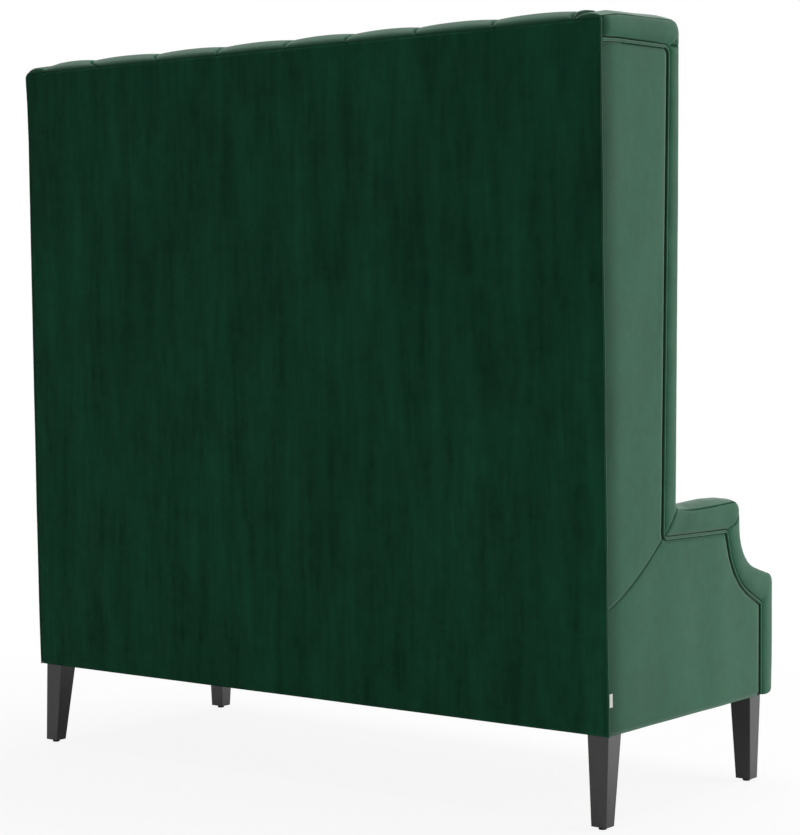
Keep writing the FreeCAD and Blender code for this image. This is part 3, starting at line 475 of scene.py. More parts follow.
def grain_group():
    """Wood grain along Z or another axis: growth bands, pores and broad colour changes."""
    group, shading, given, result = new_group(
        "wood_grain",
        [("Stretch", "NodeSocketVector", (40.0, 40.0, 2.5)), ("Bands", "NodeSocketFloat", 1.0)],
        [("Shade", "NodeSocketFloat"), ("Height", "NodeSocketFloat")],
    )
    coordinates = shading.add("ShaderNodeTexCoord")
    drawn = shading.add("ShaderNodeVectorMath", operation="MULTIPLY")
    shading.feed(drawn.inputs[0], coordinates.outputs["Object"])
    shading.feed(drawn.inputs[1], given["Stretch"])
    bands = shading.noise(drawn.outputs[0], given["Bands"], 4.0, 0.6, 0.6)
    pores = shading.noise(drawn.outputs[0], shading.math("MULTIPLY", given["Bands"], 9.0), 2.0, 0.6)
    open_pores = shading.spread(pores, 0.35, 0.55)
    pored = shading.math("MULTIPLY", open_pores, 0.3)
    shade = shading.math("ADD", shading.math("MULTIPLY", bands, 0.7), pored)
    shading.feed(result["Shade"], shading.spread(shade, 0.3, 0.8))
    shading.feed(result["Height"], open_pores)
    return group


NAP = nap_group()
THREADS = thread_group()
GRAIN = grain_group()


def new_material(name):
    material = bpy.data.materials.new(name)
    material.use_nodes = True
    material.node_tree.nodes.clear()
    shading = Shading(material.node_tree)
    shader = shading.add("ShaderNodeBsdfPrincipled")
    output = shading.add("ShaderNodeOutputMaterial")
    shading.tree.links.new(shader.outputs["BSDF"], output.inputs["Surface"])
    return material, shading, shader


def bump(shading, shader, height, strength, distance):
    node = shading.add("ShaderNodeBump", {"Height": height})
    node.inputs["Strength"].default_value = strength
    node.inputs["Distance"].default_value = distance
    shading.feed(shader.inputs["Normal"], node.outputs["Normal"])


VELVET_DEEP = (0.0100, 0.070, 0.035, 1.0)
VELVET_FULL = (0.0200, 0.112, 0.058, 1.0)
# colour of the painted shade at the bottom of seams and folds
VELVET_SEAM_SHADE = (0.0012, 0.018, 0.009, 1.0)


def velvet(name, clouds, streaks, pile=0.6, sheen=0.5, deep=VELVET_DEEP, full=VELVET_FULL):
    """Short cotton velvet, with painted shade mixed in where the mesh marks its seams and folds."""
    material, shading, shader = new_material(name)
    nap = use_group(shading, NAP, clouds=clouds, streaks=streaks, pile=pile)
    colour = shading.mix(nap["Shade"], deep, full)
    # painted shade: the seam mark mixes the colour towards the dark seam colour
    seam = shading.add("ShaderNodeAttribute", attribute_name="seam").outputs["Fac"]
    colour = shading.mix(seam, colour, VELVET_SEAM_SHADE)
    shading.feed(shader.inputs["Base Color"], colour)
    shading.feed(shader.inputs["Roughness"], nap["Roughness"])
    shader.inputs["Specular IOR Level"].default_value = 0.15
    shader.inputs["Sheen Weight"].default_value = sheen
    shader.inputs["Sheen Roughness"].default_value = 0.45
    shader.inputs["Sheen Tint"].default_value = (0.93, 1.0, 0.96, 1.0)
    bump(shading, shader, nap["Height"], 0.35, 0.0006)
    return material


def woven(name, dark, light, threads, slub, strength=0.6):
    material, shading, shader = new_material(name)
    cloth = use_group(shading, THREADS, threads=threads, slub=slub)
    shading.feed(shader.inputs["Base Color"], shading.mix(cloth["Shade"], dark, light))
    shading.feed(shader.inputs["Roughness"], shading.spread(cloth["Shade"], 0.0, 1.0, 0.95, 0.8))
    shader.inputs["Specular IOR Level"].default_value = 0.2
    bump(shading, shader, cloth["Height"], strength, 0.0006)
    return material


def timber(name, dark, light, stretch, bands, rough, strength, gloss=0.5):
    material, shading, shader = new_material(name)
    wood = use_group(shading, GRAIN, stretch=stretch, bands=bands)
    shading.feed(shader.inputs["Base Color"], shading.mix(wood["Shade"], dark, light))
    shading.feed(shader.inputs["Roughness"], shading.spread(wood["Shade"], 0.0, 1.0, rough + 0.08, rough))
    shader.inputs["Specular IOR Level"].default_value = gloss
    bump(shading, shader, wood["Height"], strength, 0.0004)
    return material


def speckled(name, dark, light, scale, rough, metallic=0.0, strength=0.15):
    """Plated steel or moulded plastic with a fine, slightly uneven skin."""
    material, shading, shader = new_material(name)
    place = shading.place()
    patch = shading.spread(shading.noise(place, scale, 4.0, 0.6), 0.35, 0.65)
    shading.feed(shader.inputs["Base Color"], shading.mix(patch, dark, light))
    shading.feed(shader.inputs["Roughness"], shading.spread(patch, 0.0, 1.0, rough, rough + 0.15))
    shader.inputs["Metallic"].default_value = metallic
    bump(shading, shader, shading.noise(place, scale * 6.0, 2.0), strength, 0.0003)
    return material


velvet_side = velvet("velvet", clouds=0.85, streaks=0.35)
# darker, nearly sheenless copy of the same velvet for the outside back: painted shade of a face turned from
# the light
velvet_back_shaded = velvet("velvet_outside_back_shaded", clouds=0.8, streaks=1.1, sheen=0.015,
                     deep=(0.0040, 0.046, 0.022, 1.0), full=(0.0110, 0.098, 0.049, 1.0))
# dark copy of the velvet without sheen for faces deep in seams and folds: painted shade
velvet_seam = velvet("velvet_seam", clouds=0.3, streaks=0.1, sheen=0.0)
hessian_cloth = woven("hessian", (0.22, 0.15, 0.08, 1.0), (0.60, 0.47, 0.30, 1.0), 900.0, 0.8)
webbing_cloth = woven("webbing", (0.05, 0.05, 0.05, 1.0), (0.24, 0.24, 0.24, 1.0), 1500.0, 0.2)
deck_cloth = woven("deck_cloth", (0.008, 0.030, 0.018, 1.0), (0.020, 0.070, 0.042, 1.0), 2200.0, 0.3)
insulator_felt = speckled("insulator_felt", (0.25, 0.24, 0.22, 1.0), (0.52, 0.50, 0.46, 1.0),
                          90.0, 0.9, strength=0.6)
dust_cloth = woven("dust_cloth", (0.006, 0.006, 0.006, 1.0), (0.022, 0.022, 0.022, 1.0), 1800.0, 0.9, 0.3)
tab_tape = woven("tab_tape", (0.50, 0.52, 0.48, 1.0), (0.78, 0.80, 0.76, 1.0), 4200.0, 0.1)
black_wood = timber("black_lacquer", (0.004, 0.004, 0.0045, 1.0), (0.009, 0.009, 0.0095, 1.0),
                    (60.0, 60.0, 5.0), 1.2, 0.30, 0.08, gloss=1.0)
frame_timber = timber("frame_timber", (0.36, 0.22, 0.11, 1.0), (0.66, 0.48, 0.28, 1.0),
                      (18.0, 30.0, 6.0), 1.5, 0.72, 0.3)
plywood = timber("plywood", (0.42, 0.29, 0.16, 1.0), (0.72, 0.56, 0.36, 1.0),
                 (160.0, 6.0, 2.0), 1.2, 0.7, 0.25)
spring_steel = speckled("spring_steel", (0.42, 0.42, 0.43, 1.0), (0.58, 0.58, 0.60, 1.0), 120.0, 0.32, 1.0)
glide_plastic = speckled("glide_plastic", (0.012, 0.012, 0.012, 1.0), (0.024, 0.024, 0.024, 1.0), 200.0, 0.55)


def dress(piece, slot, *replaced, body="settee", fill=None):
    """Puts a finished piece on its body, in place of CAD nodes."""
    if replaced:
        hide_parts(*replaced)
    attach(piece, body)
    return piece


# padded borders of wing and arm

WELT_BED = 0.8004
PLY_FACE = 0.8001
BORDER_PEAK = 0.8092
EDGE_X = 0.8035
INNER_SEAM_X = 0.7455
PADDING = 0.0142
ACROSS = 26
OVER = 24
CROOK = 7
BORDER_ROUND = 2.3
TOP_WIDE = 0.058
FINE_SEAM = 0.0011
CORD_LANE, LANE_EDGE = 0.0042, 0.0022
MITRE_WIDE, MITRE_DEEP = 0.0026, 0.0028
TUCK_FROM, TUCK_WIDE, TUCK_DEEP = 0.010, 0.013, 0.0068
RIM_ACROSS = [0.962, 0.978, 0.990, 1.0]
RIM_OVER = [0.010, 0.022, 0.040]

# seams in the side view: from, to, depth, width
BORDER_SEAMS = (
    ((0.0870, 1.5682), (0.0480, 1.5712), 0.0034, 0.0022),
    ((0.0843, 1.5706), (0.0700, 1.5780), 0.0016, 0.0034),
    ((0.0700, 1.5780), (0.0584, 1.5859), 0.0012, 0.0036),
    ((0.0800, 1.5660), (0.0560, 1.5600), 0.0010, 0.0034),
    ((-0.1530, 0.5665), (-0.1773, 0.5739), 0.0022, 0.0022),
    ((-0.1773, 0.5739), (-0.1915, 0.5836), 0.0022, 0.0022),
    ((-0.1915, 0.5836), (-0.2010, 0.5990), 0.0018, 0.0024),
)


def border_sections(first, last, seed, seam_ends):
    """Rings of a border between two stations: outer face, top or front panel, inner edge, closed inside."""
    sections, marks = [], []
    across = np.concatenate([np.linspace(0.0, 0.955, ACROSS) ** 1.25, RIM_ACROSS])
    over = np.concatenate([RIM_OVER, np.linspace(0.065, 0.935, OVER), [0.96, 0.98, 1.0]])
    arc = run_of(EDGE)
    for k in range(first, last + 1):
        out = OUTWARD[k]
        sunk = SUNK[k]
        seam_point = EDGE[k] - out * sunk
        span = seam_point - WELT[k]
        wide = np.linalg.norm(span)
        flat = WELT[k] + span * across[:, None]
        beside = np.clip((across * wide - CORD_LANE) / (wide - CORD_LANE), 0.0, 1.0)
        puff = pillow(beside, BORDER_ROUND)
        floor_level = np.where(beside > 0.5, EDGE_X, WELT_BED)
        ends = 0.0
        for station in seam_ends:
            ends = max(ends, float(dip(abs(arc[k] - arc[station]), MITRE_WIDE)))
        rear_tuck = float(dip(max(arc[k] - TUCK_FROM, 0.0), TUCK_WIDE))
        peak = BORDER_PEAK - MITRE_DEEP * ends - TUCK_DEEP * rear_tuck
        uneven = 0.0009 * drift(flat[:, 0], flat[:, 1], seed, 0.11)
        x = floor_level + (peak + uneven * puff - floor_level) * puff
        # marks of painted shade: beside the welt cord, along the fine edge seam, at the mitre ends, in the
        # rear tuck and in the listed seam grooves
        mark = 0.95 * dip(np.maximum(across * wide - CORD_LANE, 0.0), LANE_EDGE)
        mark = np.maximum(mark, 0.90 * dip((1.0 - across) * wide, FINE_SEAM))
        mark = np.maximum(mark, 0.54 * ends ** 3 * puff)
        mark = np.maximum(mark, 0.70 * rear_tuck * (arc[k] > 0.004))
        for start, end, deep, width in BORDER_SEAMS:
            near = to_segment(flat, start, end)
            x = x - deep * dip(near, width) * puff
            mark = np.maximum(mark, min(1.0, deep * 260.0) * dip(near, width * 0.75))
        outer = side_points(x, flat)
        rise = CROWN[k] * (1.0 - 0.25 * ends)
        lift = -sunk + (sunk + rise) * np.sin(math.pi * np.clip(over, 0.0, 1.0)) ** 0.75
        x_over = EDGE_X + (INNER_SEAM_X - EDGE_X) * over
        lift = lift + 0.0006 * drift(x_over, np.full_like(x_over, arc[k]), seed + 5, 0.09)
        top = side_points(x_over, EDGE[k] + out * lift[:, None])
        # painted shade along the seams at both sides of the top panel
        top_mark = 0.90 * (dip(over * TOP_WIDE, FINE_SEAM) + dip((1.0 - over) * TOP_WIDE, FINE_SEAM))
        down = np.linspace(0.0, 1.0, CROOK + 1)[1:]
        x_crook = INNER_SEAM_X - 0.0028 * np.sin(math.pi * down) - 0.0006 * down
        crook = side_points(x_crook, EDGE[k] - out * (sunk + (PADDING - sunk) * down)[:, None])
        inside_flat = EDGE[k] - out * PADDING
        inside = side_points([0.7630, PLY_FACE], np.stack([inside_flat, inside_flat]))
        sections.append(np.concatenate([outer, top, crook, inside]))
        marks.append(np.concatenate([mark, top_mark, np.zeros(CROOK + 2)]))
    return np.array(sections), np.array(marks)


def mirrored(points, side):
    turned = points.copy()
    turned[..., 0] *= side
    return turned


root_station = arc_middle(ARM_ROOT)
last_station = len(EDGE) - 1
for hand, side in SIDES:
    sections, marks = border_sections(0, root_station, 11 if side > 0 else 12, [root_station])
    piece = sweep("wing_border_padded_" + hand, mirrored(sections, side), velvet_side, marks)
    dress(piece, "velvet", "wing_border_" + hand, fill=0.9)
    sections, marks = border_sections(root_station, last_station, 13 if side > 0 else 14, [root_station])
    piece = sweep("arm_border_padded_" + hand, mirrored(sections, side), velvet_side, marks)
    dress(piece, "velvet", "arm_border_" + hand, fill=0.9)

# piped welt between border and outer panel

CORD_RADIUS = 0.0031
CORD_CENTRE = 0.8044


def piped_cord(name, path, radius, material, sides=12, seed=1, bound=None):
    """Tube along points with slight gathers where its cloth is stretched round it."""
    tangent = np.gradient(path, axis=0)
    tangent /= np.linalg.norm(tangent, axis=1)[:, None] + 1e-12
    out = np.cross(tangent, bound if bound is not None else np.array([1.0, 0.0, 0.0]))
    out /= np.linalg.norm(out, axis=1)[:, None] + 1e-12
    up = np.cross(out, tangent)
    run = run_of(path)
    angles = np.linspace(0.0, 2.0 * math.pi, sides, endpoint=False)
    swell = 1.0 + 0.05 * drift(run, np.zeros_like(run), seed, 0.016)
    rings = []
    for angle in angles:
        reach = radius * swell[:, None]
        rings.append(path + (out * math.cos(angle) + up * math.sin(angle)) * reach)
    sections = np.stack(rings, axis=1)
    return sweep(name, sections, material, crisp=60.0)


for hand, side in SIDES:
    depth_in = 0.006 * dip(np.arange(len(WELT)) * STATION, 0.010)
    line = side_points(side * (CORD_CENTRE - depth_in), WELT)
    keep = np.concatenate([[True], np.linalg.norm(np.diff(line, axis=0), axis=1) > 4e-4])
    welt_cord = piped_cord("welt_cord_" + hand, line[keep], CORD_RADIUS, velvet_side, seed=21)
    dress(welt_cord, "velvet", "side_welt_" + hand)

# outer side panels, with the join seam between them

ROLL_DEEP, ROLL_WIDE = 0.0050, 0.052
JOIN_DEEP, JOIN_WIDE, JOIN_PULL, JOIN_REACH = 0.0028, 0.0022, 0.0007, 0.016
HEM_DEEP, HEM_WIDE = 0.0040, 0.0050
FLARE_REACH = 0.060
SHADE_REACH = 0.038


def spread_parts(length, fine, coarse):
    """Shares of a length, close together near both ends and wider apart between them."""
    steps = [0.0]
    step = fine
    while steps[-1] < length / 2.0:
        steps.append(steps[-1] + step)
        step = min(step * 1.3, coarse)
    half = np.array(steps) / steps[-1] * 0.5
    return np.concatenate([half, 1.0 - half[-2::-1]])


def resample(line, count_or_parts):
    """Points at even shares of a line's length."""
    run = run_of(line)
    parts = np.linspace(0.0, 1.0, count_or_parts) if isinstance(count_or_parts, int) else count_or_parts
    return np.stack([np.interp(parts * run[-1], run, line[:, axis]) for axis in range(2)], axis=1)


# how far the left rear corner stands out beyond the right one, by height
FLARE = ([0.20, 0.40, 0.55, 0.70, 0.85, 1.00, 1.15, 1.30, 1.44, 1.53, 1.58, 1.61],
         [0.0060, 0.0068, 0.0068, 0.0052, 0.0045, 0.0040, 0.0028, 0.0012, 0.0, 0.0020, 0.0045, 0.0045])


def flare(side, height):
    return np.interp(height, *FLARE) if side > 0.0 else np.zeros_like(height)


REAR_TOP = np.array([back_y(1.558, COVER), 1.558])
REAR_JOIN = np.array([back_y(JOIN_REAR, COVER), JOIN_REAR])
REAR_LOW = np.array([back_y(PANEL_FOOT, COVER), PANEL_FOOT])
WELT_ROOT = WELT[root_station]
front_low = np.array([-0.297, PANEL_FOOT])


def join_line(count):
    """The slanting join seam, which hangs a little between its ends."""
    part = np.linspace(0.0, 1.0, count)[:, None]
    straight = WELT_ROOT + (REAR_JOIN - WELT_ROOT) * part
    return straight - np.array([0.0, 4.0 * JOIN_SAG]) * part * (1.0 - part)


JOIN = join_line(25)


def panel_surface(flat, side, seed):
    """X of the stretched outer side over points of the side view, and its marks of painted shade in the seams
    and towards the rear corner.
    """
    rear = to_segment(flat, (back_y(0.0, COVER), 0.0), (back_y(1.8, COVER), 1.8))
    welt = to_line(flat, WELT[::3])
    join = to_line(flat, JOIN)
    low = flat[..., 1] - PANEL_FOOT
    x = np.full(flat.shape[:-1], PANEL_FACE)
    x = x - ROLL_DEEP * np.clip(1.0 - rear / ROLL_WIDE, 0.0, 1.0) ** 2.2
    x = x - (PANEL_FACE - WELT_BED) * dip(welt, 0.0060) ** 0.7
    x = x - JOIN_DEEP * dip(join, JOIN_WIDE) - JOIN_PULL * dip(join, JOIN_REACH)
    x = x + flare(side, flat[..., 1]) * dip(rear, FLARE_REACH)
    x = np.maximum(x - HEM_DEEP * dip(low, HEM_WIDE), WELT_BED)
    calm = smooth_step(0.0, 0.03, np.minimum(rear, welt))
    x = x + 0.0010 * calm * drift(flat[..., 0], flat[..., 1], seed, 0.22)
    # painted shade beside the welt, in the join and rear seams, and over a wide band towards the rear corner
    mark = np.maximum(0.95 * dip(np.maximum(welt - 0.0020, 0.0), 0.0026), 0.50 * dip(join, 0.0013))
    mark = np.maximum(mark, 0.90 * dip(np.maximum(rear - 0.0015, 0.0), 0.0028))
    mark = np.maximum(mark, 0.48 * dip(rear, SHADE_REACH))
    return x, mark


def outer_panel(name, front_line, rear_line, top_row, columns, side, seed, replaced, hang=0.0):
    flat = front_line[:, None, :] + (rear_line - front_line)[:, None, :] * columns[None, :, None]
    height = np.abs(front_line[:, 1] - front_line[0, 1])
    flat[..., 1] -= 4.0 * hang * dip(height, 0.16)[:, None] * (columns * (1.0 - columns))[None, :]
    first, last = (root_station, arc_middle(ARM_NOSE)) if top_row == 0 else (0, arc_middle(TOP_CORNER))
    above = WELT[first:last + 1][::-1]
    lacking = np.interp(flat[top_row, :, 0], above[:, 0], above[:, 1]) - flat[top_row, :, 1]
    below = np.abs(front_line[:, 1] - front_line[top_row, 1])
    flat[..., 1] += dip(below, 0.040)[:, None] * lacking[None, :]
    x, mark = panel_surface(flat, side, seed)
    front = mirrored(side_points(x, flat), side)
    back = mirrored(side_points(np.full_like(x, PLY_FACE), flat), side)
    piece = slab(name, front, back, velvet_side, mark)
    return dress(piece, "velvet", replaced, fill=1.0)


wing_parts = spread_parts(1.07, 0.0018, 0.006)
wing_front = resample(WELT[arc_middle(TOP_CORNER):root_station + 1][::-1], wing_parts)
wing_rear = resample(np.array([REAR_JOIN, REAR_TOP]), wing_parts)
arm_parts = spread_parts(0.47, 0.0018, 0.005)
arm_front_line = resample(np.vstack([WELT[arc_middle(ARM_NOSE):-14], front_low]), arm_parts)
arm_rear_line = resample(np.vstack([JOIN, REAR_LOW]), arm_parts)
for hand, side in SIDES:
    outer_panel("outer_wing_cover_" + hand, wing_front, wing_rear, -1,
                spread_parts(0.25, 0.0012, 0.005), side, 31 if side > 0 else 32,
                "outer_wing_panel_" + hand, JOIN_SAG)
    outer_panel("outer_arm_cover_" + hand, arm_front_line, arm_rear_line, 0,
                spread_parts(0.50, 0.0012, 0.006), side, 33 if side > 0 else 34, "outer_arm_panel_" + hand)

# outside back, with a ridge seam at each rear corner

BACK_HALF = 0.804
BACK_HIGH = 1.412
back_columns = (spread_parts(1.608, 0.0015, 0.012) * 2.0 - 1.0) * BACK_HALF
back_rows = spread_parts(BACK_HIGH, 0.0012, 0.012) * BACK_HIGH
width_grid, up_grid = np.meshgrid(back_columns, back_rows)
height_grid = PANEL_FOOT + up_grid
edge_x = BACK_HALF - np.abs(width_grid)
width_grid = width_grid + flare(1.0, height_grid) * smooth_step(0.5, BACK_HALF, width_grid)
edge_low = up_grid
edge_high = BACK_HIGH - up_grid
stand = 0.0012 * smooth_step(0.0, 0.03, edge_x) + 0.0010 * drift(width_grid, height_grid * 0.55, 41, 0.5)
stand = stand - 0.0035 * dip(edge_low, 0.0035) - 0.0040 * dip(edge_high, 0.0030) - 0.0012 * dip(edge_x, 0.004)
flat_y = BACK_FOOT + (height_grid - BOX_BOTTOM) * math.tan(lean)
back_front = np.stack([width_grid, flat_y + stand - 0.0008, height_grid], axis=-1)
back_rear = np.stack([width_grid, flat_y - COVER, height_grid], axis=-1)
# painted shade along the top seam of the outside back
back_mark = 0.5 * dip(edge_high, 0.002)
outside_back = slab("outside_back_velvet", back_front, back_rear, velvet_back_shaded, back_mark)
dress(outside_back, "velvet", "outside_back_cover", fill=1.0)

RIDGE_RADIUS = 0.0020
RIDGE_X = 0.8049
RIDGE_TOP = 1.6035
for hand, side in SIDES:
    heights = np.arange(PANEL_FOOT, RIDGE_TOP, 0.004)
    wander = 0.0007 * drift(heights, np.zeros_like(heights), 51 if side > 0 else 52, 0.30)
    lean_in = 0.0015 * smooth_step(1.592, 1.598, heights) + 0.0080 * smooth_step(1.597, 1.605, heights)
    ridge_x = side * (RIDGE_X + wander - lean_in + flare(side, heights))
    ridge_y = np.array([back_y(height, 0.0012) for height in heights])
    ridge_y = ridge_y - 0.004 * smooth_step(1.590, RIDGE_TOP, heights)
    path = np.stack([ridge_x, ridge_y, heights], axis=1)
    ridge = piped_cord("rear_corner_seam_" + hand, path, RIDGE_RADIUS, velvet_side, sides=10, seed=53)
    dress(ridge, "velvet")

# inner faces of wing and arm


def inner_pad(name, front_line, rear_line, side, seed, replaced):
    parts = spread_parts(0.25, 0.003, 0.010)
    flat = front_line[:, None, :] + (rear_line - front_line)[:, None, :] * parts[None, :, None]
    rim = np.minimum(to_line(flat, front_line[::4]), 0.1)
    rim = np.minimum(rim, np.minimum(to_segment(flat, front_line[0], rear_line[0]),
                                     to_segment(flat, front_line[-1], rear_line[-1])))
    x = 0.7446 - 0.0022 * (1.0 - dip(rim, 0.016)) + 0.0004 * drift(flat[..., 0], flat[..., 1], seed, 0.15)
    # painted shade along the sunken rim seams of the pad
    mark = 0.7 * dip(rim, 0.0022)
    front = mirrored(side_points(x, flat), side)
    back = mirrored(side_points(np.full_like(x, 0.7605), flat), side)
    return dress(slab(name, front, back, velvet_side, mark), "velvet", replaced, fill=0.9)


CORE = EDGE - OUTWARD * PADDING
ARM_SEAM_Z = 0.6078
ARM_PAD_LOW, ARM_PAD_HIGH, PAD_REAR = 0.316, 0.6072, 0.045
nose_station = arc_middle(ARM_NOSE)
rows_from = int(np.argmin(np.abs(CORE[:root_station, 1] - ARM_SEAM_Z)))
wing_edge = CORE[arc_middle(TOP_CORNER):rows_from + 1][::-1]
wing_inner_front = resample(wing_edge, spread_parts(1.0, 0.003, 0.010))
wing_inner_top = np.array([back_y(1.596, PAD_REAR), CORE[arc_middle(TOP_BEND), 1] - 0.003])
wing_inner_rear = resample(np.array([[back_y(ARM_SEAM_Z, PAD_REAR), ARM_SEAM_Z], wing_inner_top]),
                           spread_parts(1.0, 0.003, 0.010))
foot_station = int(np.argmin(np.abs(CORE[nose_station:, 1] - ARM_PAD_LOW))) + nose_station
arm_inner_front = resample(CORE[nose_station:foot_station + 1], spread_parts(0.35, 0.003, 0.008))
arm_inner_rear = resample(
    np.array([[back_y(height, PAD_REAR), height] for height in (ARM_PAD_HIGH, ARM_PAD_LOW)]),
    spread_parts(0.35, 0.003, 0.008))
for hand, side in SIDES:
    inner_pad("wing_inner_velvet_" + hand, wing_inner_front, wing_inner_rear, side, 61,
              "wing_inner_pad_" + hand)
    inner_pad("arm_inner_velvet_" + hand, arm_inner_front, arm_inner_rear, side, 62,
              "arm_inner_pad_" + hand)

# buttoned inside back, in the back's own frame: X, distance from the back face, height along it

PITCH = 0.189
ROW_GAP = 0.120
TOP_ROW = 1.280
ROWS = 8
PAD_LOW = 0.162
PAD_HIGH = 1.340
AT_BUTTON = 0.045
AT_PLEAT = 0.056
SWELL = 0.036
HALF_BACK = 0.7425
# the folds of the top roll, from right to left: X where they cross its crown, and at the back's top edge
FOLDS_CROWN = (-0.724, -0.530, -0.330, -0.160, 0.010, 0.210, 0.415, 0.630, 0.752)
FOLDS_REAR = (-0.744, -0.552, -0.359, -0.168, 0.002, 0.197, 0.378, 0.568, 0.748)
FOLDS_FRONT = [PITCH * column for column in range(-4, 5)]


FOLD_DIP, FOLD_WIDE, GROOVE = 0.0060, 0.0036, 0.0055
# share of the roll's section at which its crown lies, and the crown's distance from the back face
CREST, CREST_DEPTH = 0.55, 0.074
SIDE_PULL = 0.020


def leaned(x, depth, up):
    """Points of the leaning back in the settee's frame."""
    y = BACK_FOOT - depth * math.cos(lean) + up * math.sin(lean)
    z = BOX_BOTTOM + depth * math.sin(lean) + up * math.cos(lean)
    return np.stack([x, y, z], axis=-1)


def tufts(x, up):
    """Depth of the buttoned pad and its marks of painted shade in the folds."""
    raised = up - TOP_ROW
    along = (x / (PITCH / 2.0) + raised / ROW_GAP) / 2.0
    across = (-x / (PITCH / 2.0) + raised / ROW_GAP) / 2.0
    diamond = np.abs(np.sin(math.pi * along) * np.sin(math.pi * across))
    at_knot = (np.cos(math.pi * along) * np.cos(math.pi * across)) ** 2
    low_row = TOP_ROW - ROW_GAP * (ROWS - 1)
    top_channel = np.abs(np.sin(math.pi * x / PITCH))
    low_channel = np.abs(np.cos(math.pi * x / PITCH))
    above = smooth_step(0.0, 0.05, up - TOP_ROW)
    below = smooth_step(0.0, 0.05, low_row - up)
    fullness = np.where(up > TOP_ROW, top_channel ** (1.1 - 0.45 * above),
                        np.where(up < low_row, low_channel ** (1.1 - 0.45 * below), diamond ** 0.58))
    pinned = np.where(up > TOP_ROW, (1.0 - above) * (1.0 - top_channel),
                      np.where(up < low_row, (1.0 - below) * (1.0 - low_channel), at_knot))
    base = AT_PLEAT + (AT_BUTTON - AT_PLEAT) * pinned ** 3
    side_pull = smooth_step(0.0, SIDE_PULL, HALF_BACK - np.abs(x))
    depth = base + SWELL * fullness * (0.35 + 0.65 * side_pull)
    # painted shade in the pleats between the puffs
    mark = 0.9 * dip(fullness, 0.14)
    return depth, mark


pad_x = np.linspace(-HALF_BACK, HALF_BACK, 331)
pad_up = np.linspace(PAD_LOW, PAD_HIGH, 261)
pad_grid_x, pad_grid_up = np.meshgrid(pad_x, pad_up)
depth, tuft_mark = tufts(pad_grid_x, pad_grid_up)
depth = depth + 0.0012 * drift(pad_grid_x, pad_grid_up, 71, 0.08)
tufted = slab("inside_back_tufted", leaned(pad_grid_x, PAD_FACE + depth, pad_grid_up),
              leaned(pad_grid_x, np.full_like(depth, PAD_FACE), pad_grid_up), velvet_side, tuft_mark, 80.0)
dress(tufted, "velvet", "inside_back_pad", fill=0.85)

# top roll: the channels run on over the top edge and end in folds at the back's top seam


def fold_places(part):
    """X of each fold, from even columns at the front over the crown to the sewn places at the rear."""
    to_crown = smooth_step(0.0, CREST, part)
    to_rear = max(0.0, (part - CREST) / (1.0 - CREST)) ** 1.6
    places = []
    for front, crossing, rear in zip(FOLDS_FRONT, FOLDS_CROWN, FOLDS_REAR):
        places.append(front + (crossing - front) * to_crown + (rear - crossing) * to_rear)
    return np.array(places)


def top_roll():
    across_x = np.linspace(-HALF_BACK, HALF_BACK, 421)
    steps = np.concatenate([np.linspace(0.0, CREST, 22), np.linspace(0.57, 1.0, 26)])
    face = PAD_FACE + AT_PLEAT
    crown_up = CROWN_TOP - BOX_BOTTOM
    edge_up = BACK_TOP - BOX_BOTTOM + 0.0012
    points = np.zeros((len(steps), len(across_x), 3))
    marks = np.zeros((len(steps), len(across_x)))
    for i, part in enumerate(steps):
        folds = fold_places(part)
        gaps = np.abs(across_x[:, None] - folds[None, :])
        near = gaps.min(axis=1)
        order = np.searchsorted(folds, across_x)
        left = folds[np.clip(order - 1, 0, len(folds) - 1)]
        right = folds[np.clip(order, 0, len(folds) - 1)]
        share = np.where(right > left, (across_x - left) / np.maximum(right - left, 1e-6), 0.5)
        scallop = np.sin(math.pi * np.clip(share, 0.0, 1.0)) ** (0.65 - 0.15 * smooth_step(0.35, 0.9, part))
        tuck = smooth_step(0.0, SIDE_PULL, HALF_BACK - np.abs(across_x))
        full = scallop * (0.4 + 0.6 * tuck)
        top_up = crown_up - FOLD_DIP * (1.0 - full)
        # quarter turns from the front face over the crown and down to the rear edge
        if part < CREST:
            turn = part / CREST * math.pi / 2.0
            front = face + SWELL * full
            depth_here = front + 0.004 * math.sin(2.0 * turn) - (front - CREST_DEPTH) * (1.0 - math.cos(turn))
            up_here = PAD_HIGH + (top_up - PAD_HIGH) * math.sin(turn)
        else:
            turn = (part - CREST) / (1.0 - CREST) * math.pi / 2.0
            depth_here = np.full_like(across_x, CREST_DEPTH + (0.0015 - CREST_DEPTH) * math.sin(turn))
            up_here = top_up + (edge_up - top_up) * (1.0 - math.cos(turn))
        groove = GROOVE * dip(near, 0.0045) * smooth_step(0.25, 0.6, part)
        groove = groove * (1.0 - 0.5 * smooth_step(0.9, 1.0, part))
        points[i] = leaned(across_x, depth_here, up_here - groove)
        # painted shade in the folds over the roll and in the pleats of its front face
        fold_mark = 0.95 * dip(near, FOLD_WIDE) * smooth_step(0.2, 0.5, part)
        marks[i] = np.maximum(fold_mark, 0.9 * dip(scallop, 0.14) * (part < 0.5))
    inside = points.copy()
    for i, part in enumerate(steps):
        depth_in = PAD_FACE + (0.006 - PAD_FACE) * smooth_step(CREST, 1.0, part)
        up_in = PAD_HIGH + 0.060 * min(1.0, part / CREST)
        inside[i] = leaned(across_x, np.full_like(across_x, depth_in), np.full_like(across_x, up_in))
    return points, inside, marks


roll_points, roll_inside, roll_marks = top_roll()
roll = slab("top_roll_velvet", roll_points, roll_inside, velvet_side, roll_marks, 80.0)
dress(roll, "velvet", "back_top_roll", fill=0.8)


# covered buttons, set by rule at the crossings of the folds


def new_tree(name, inputs):
    tree = bpy.data.node_groups.new(name, "GeometryNodeTree")
    for label, kind, value in inputs:
        socket = tree.interface.new_socket(label, in_out="INPUT", socket_type=kind)
        if value is not None:
            socket.default_value = value
    tree.interface.new_socket("Geometry", in_out="OUTPUT", socket_type="NodeSocketGeometry")
    return tree, Shading(tree)


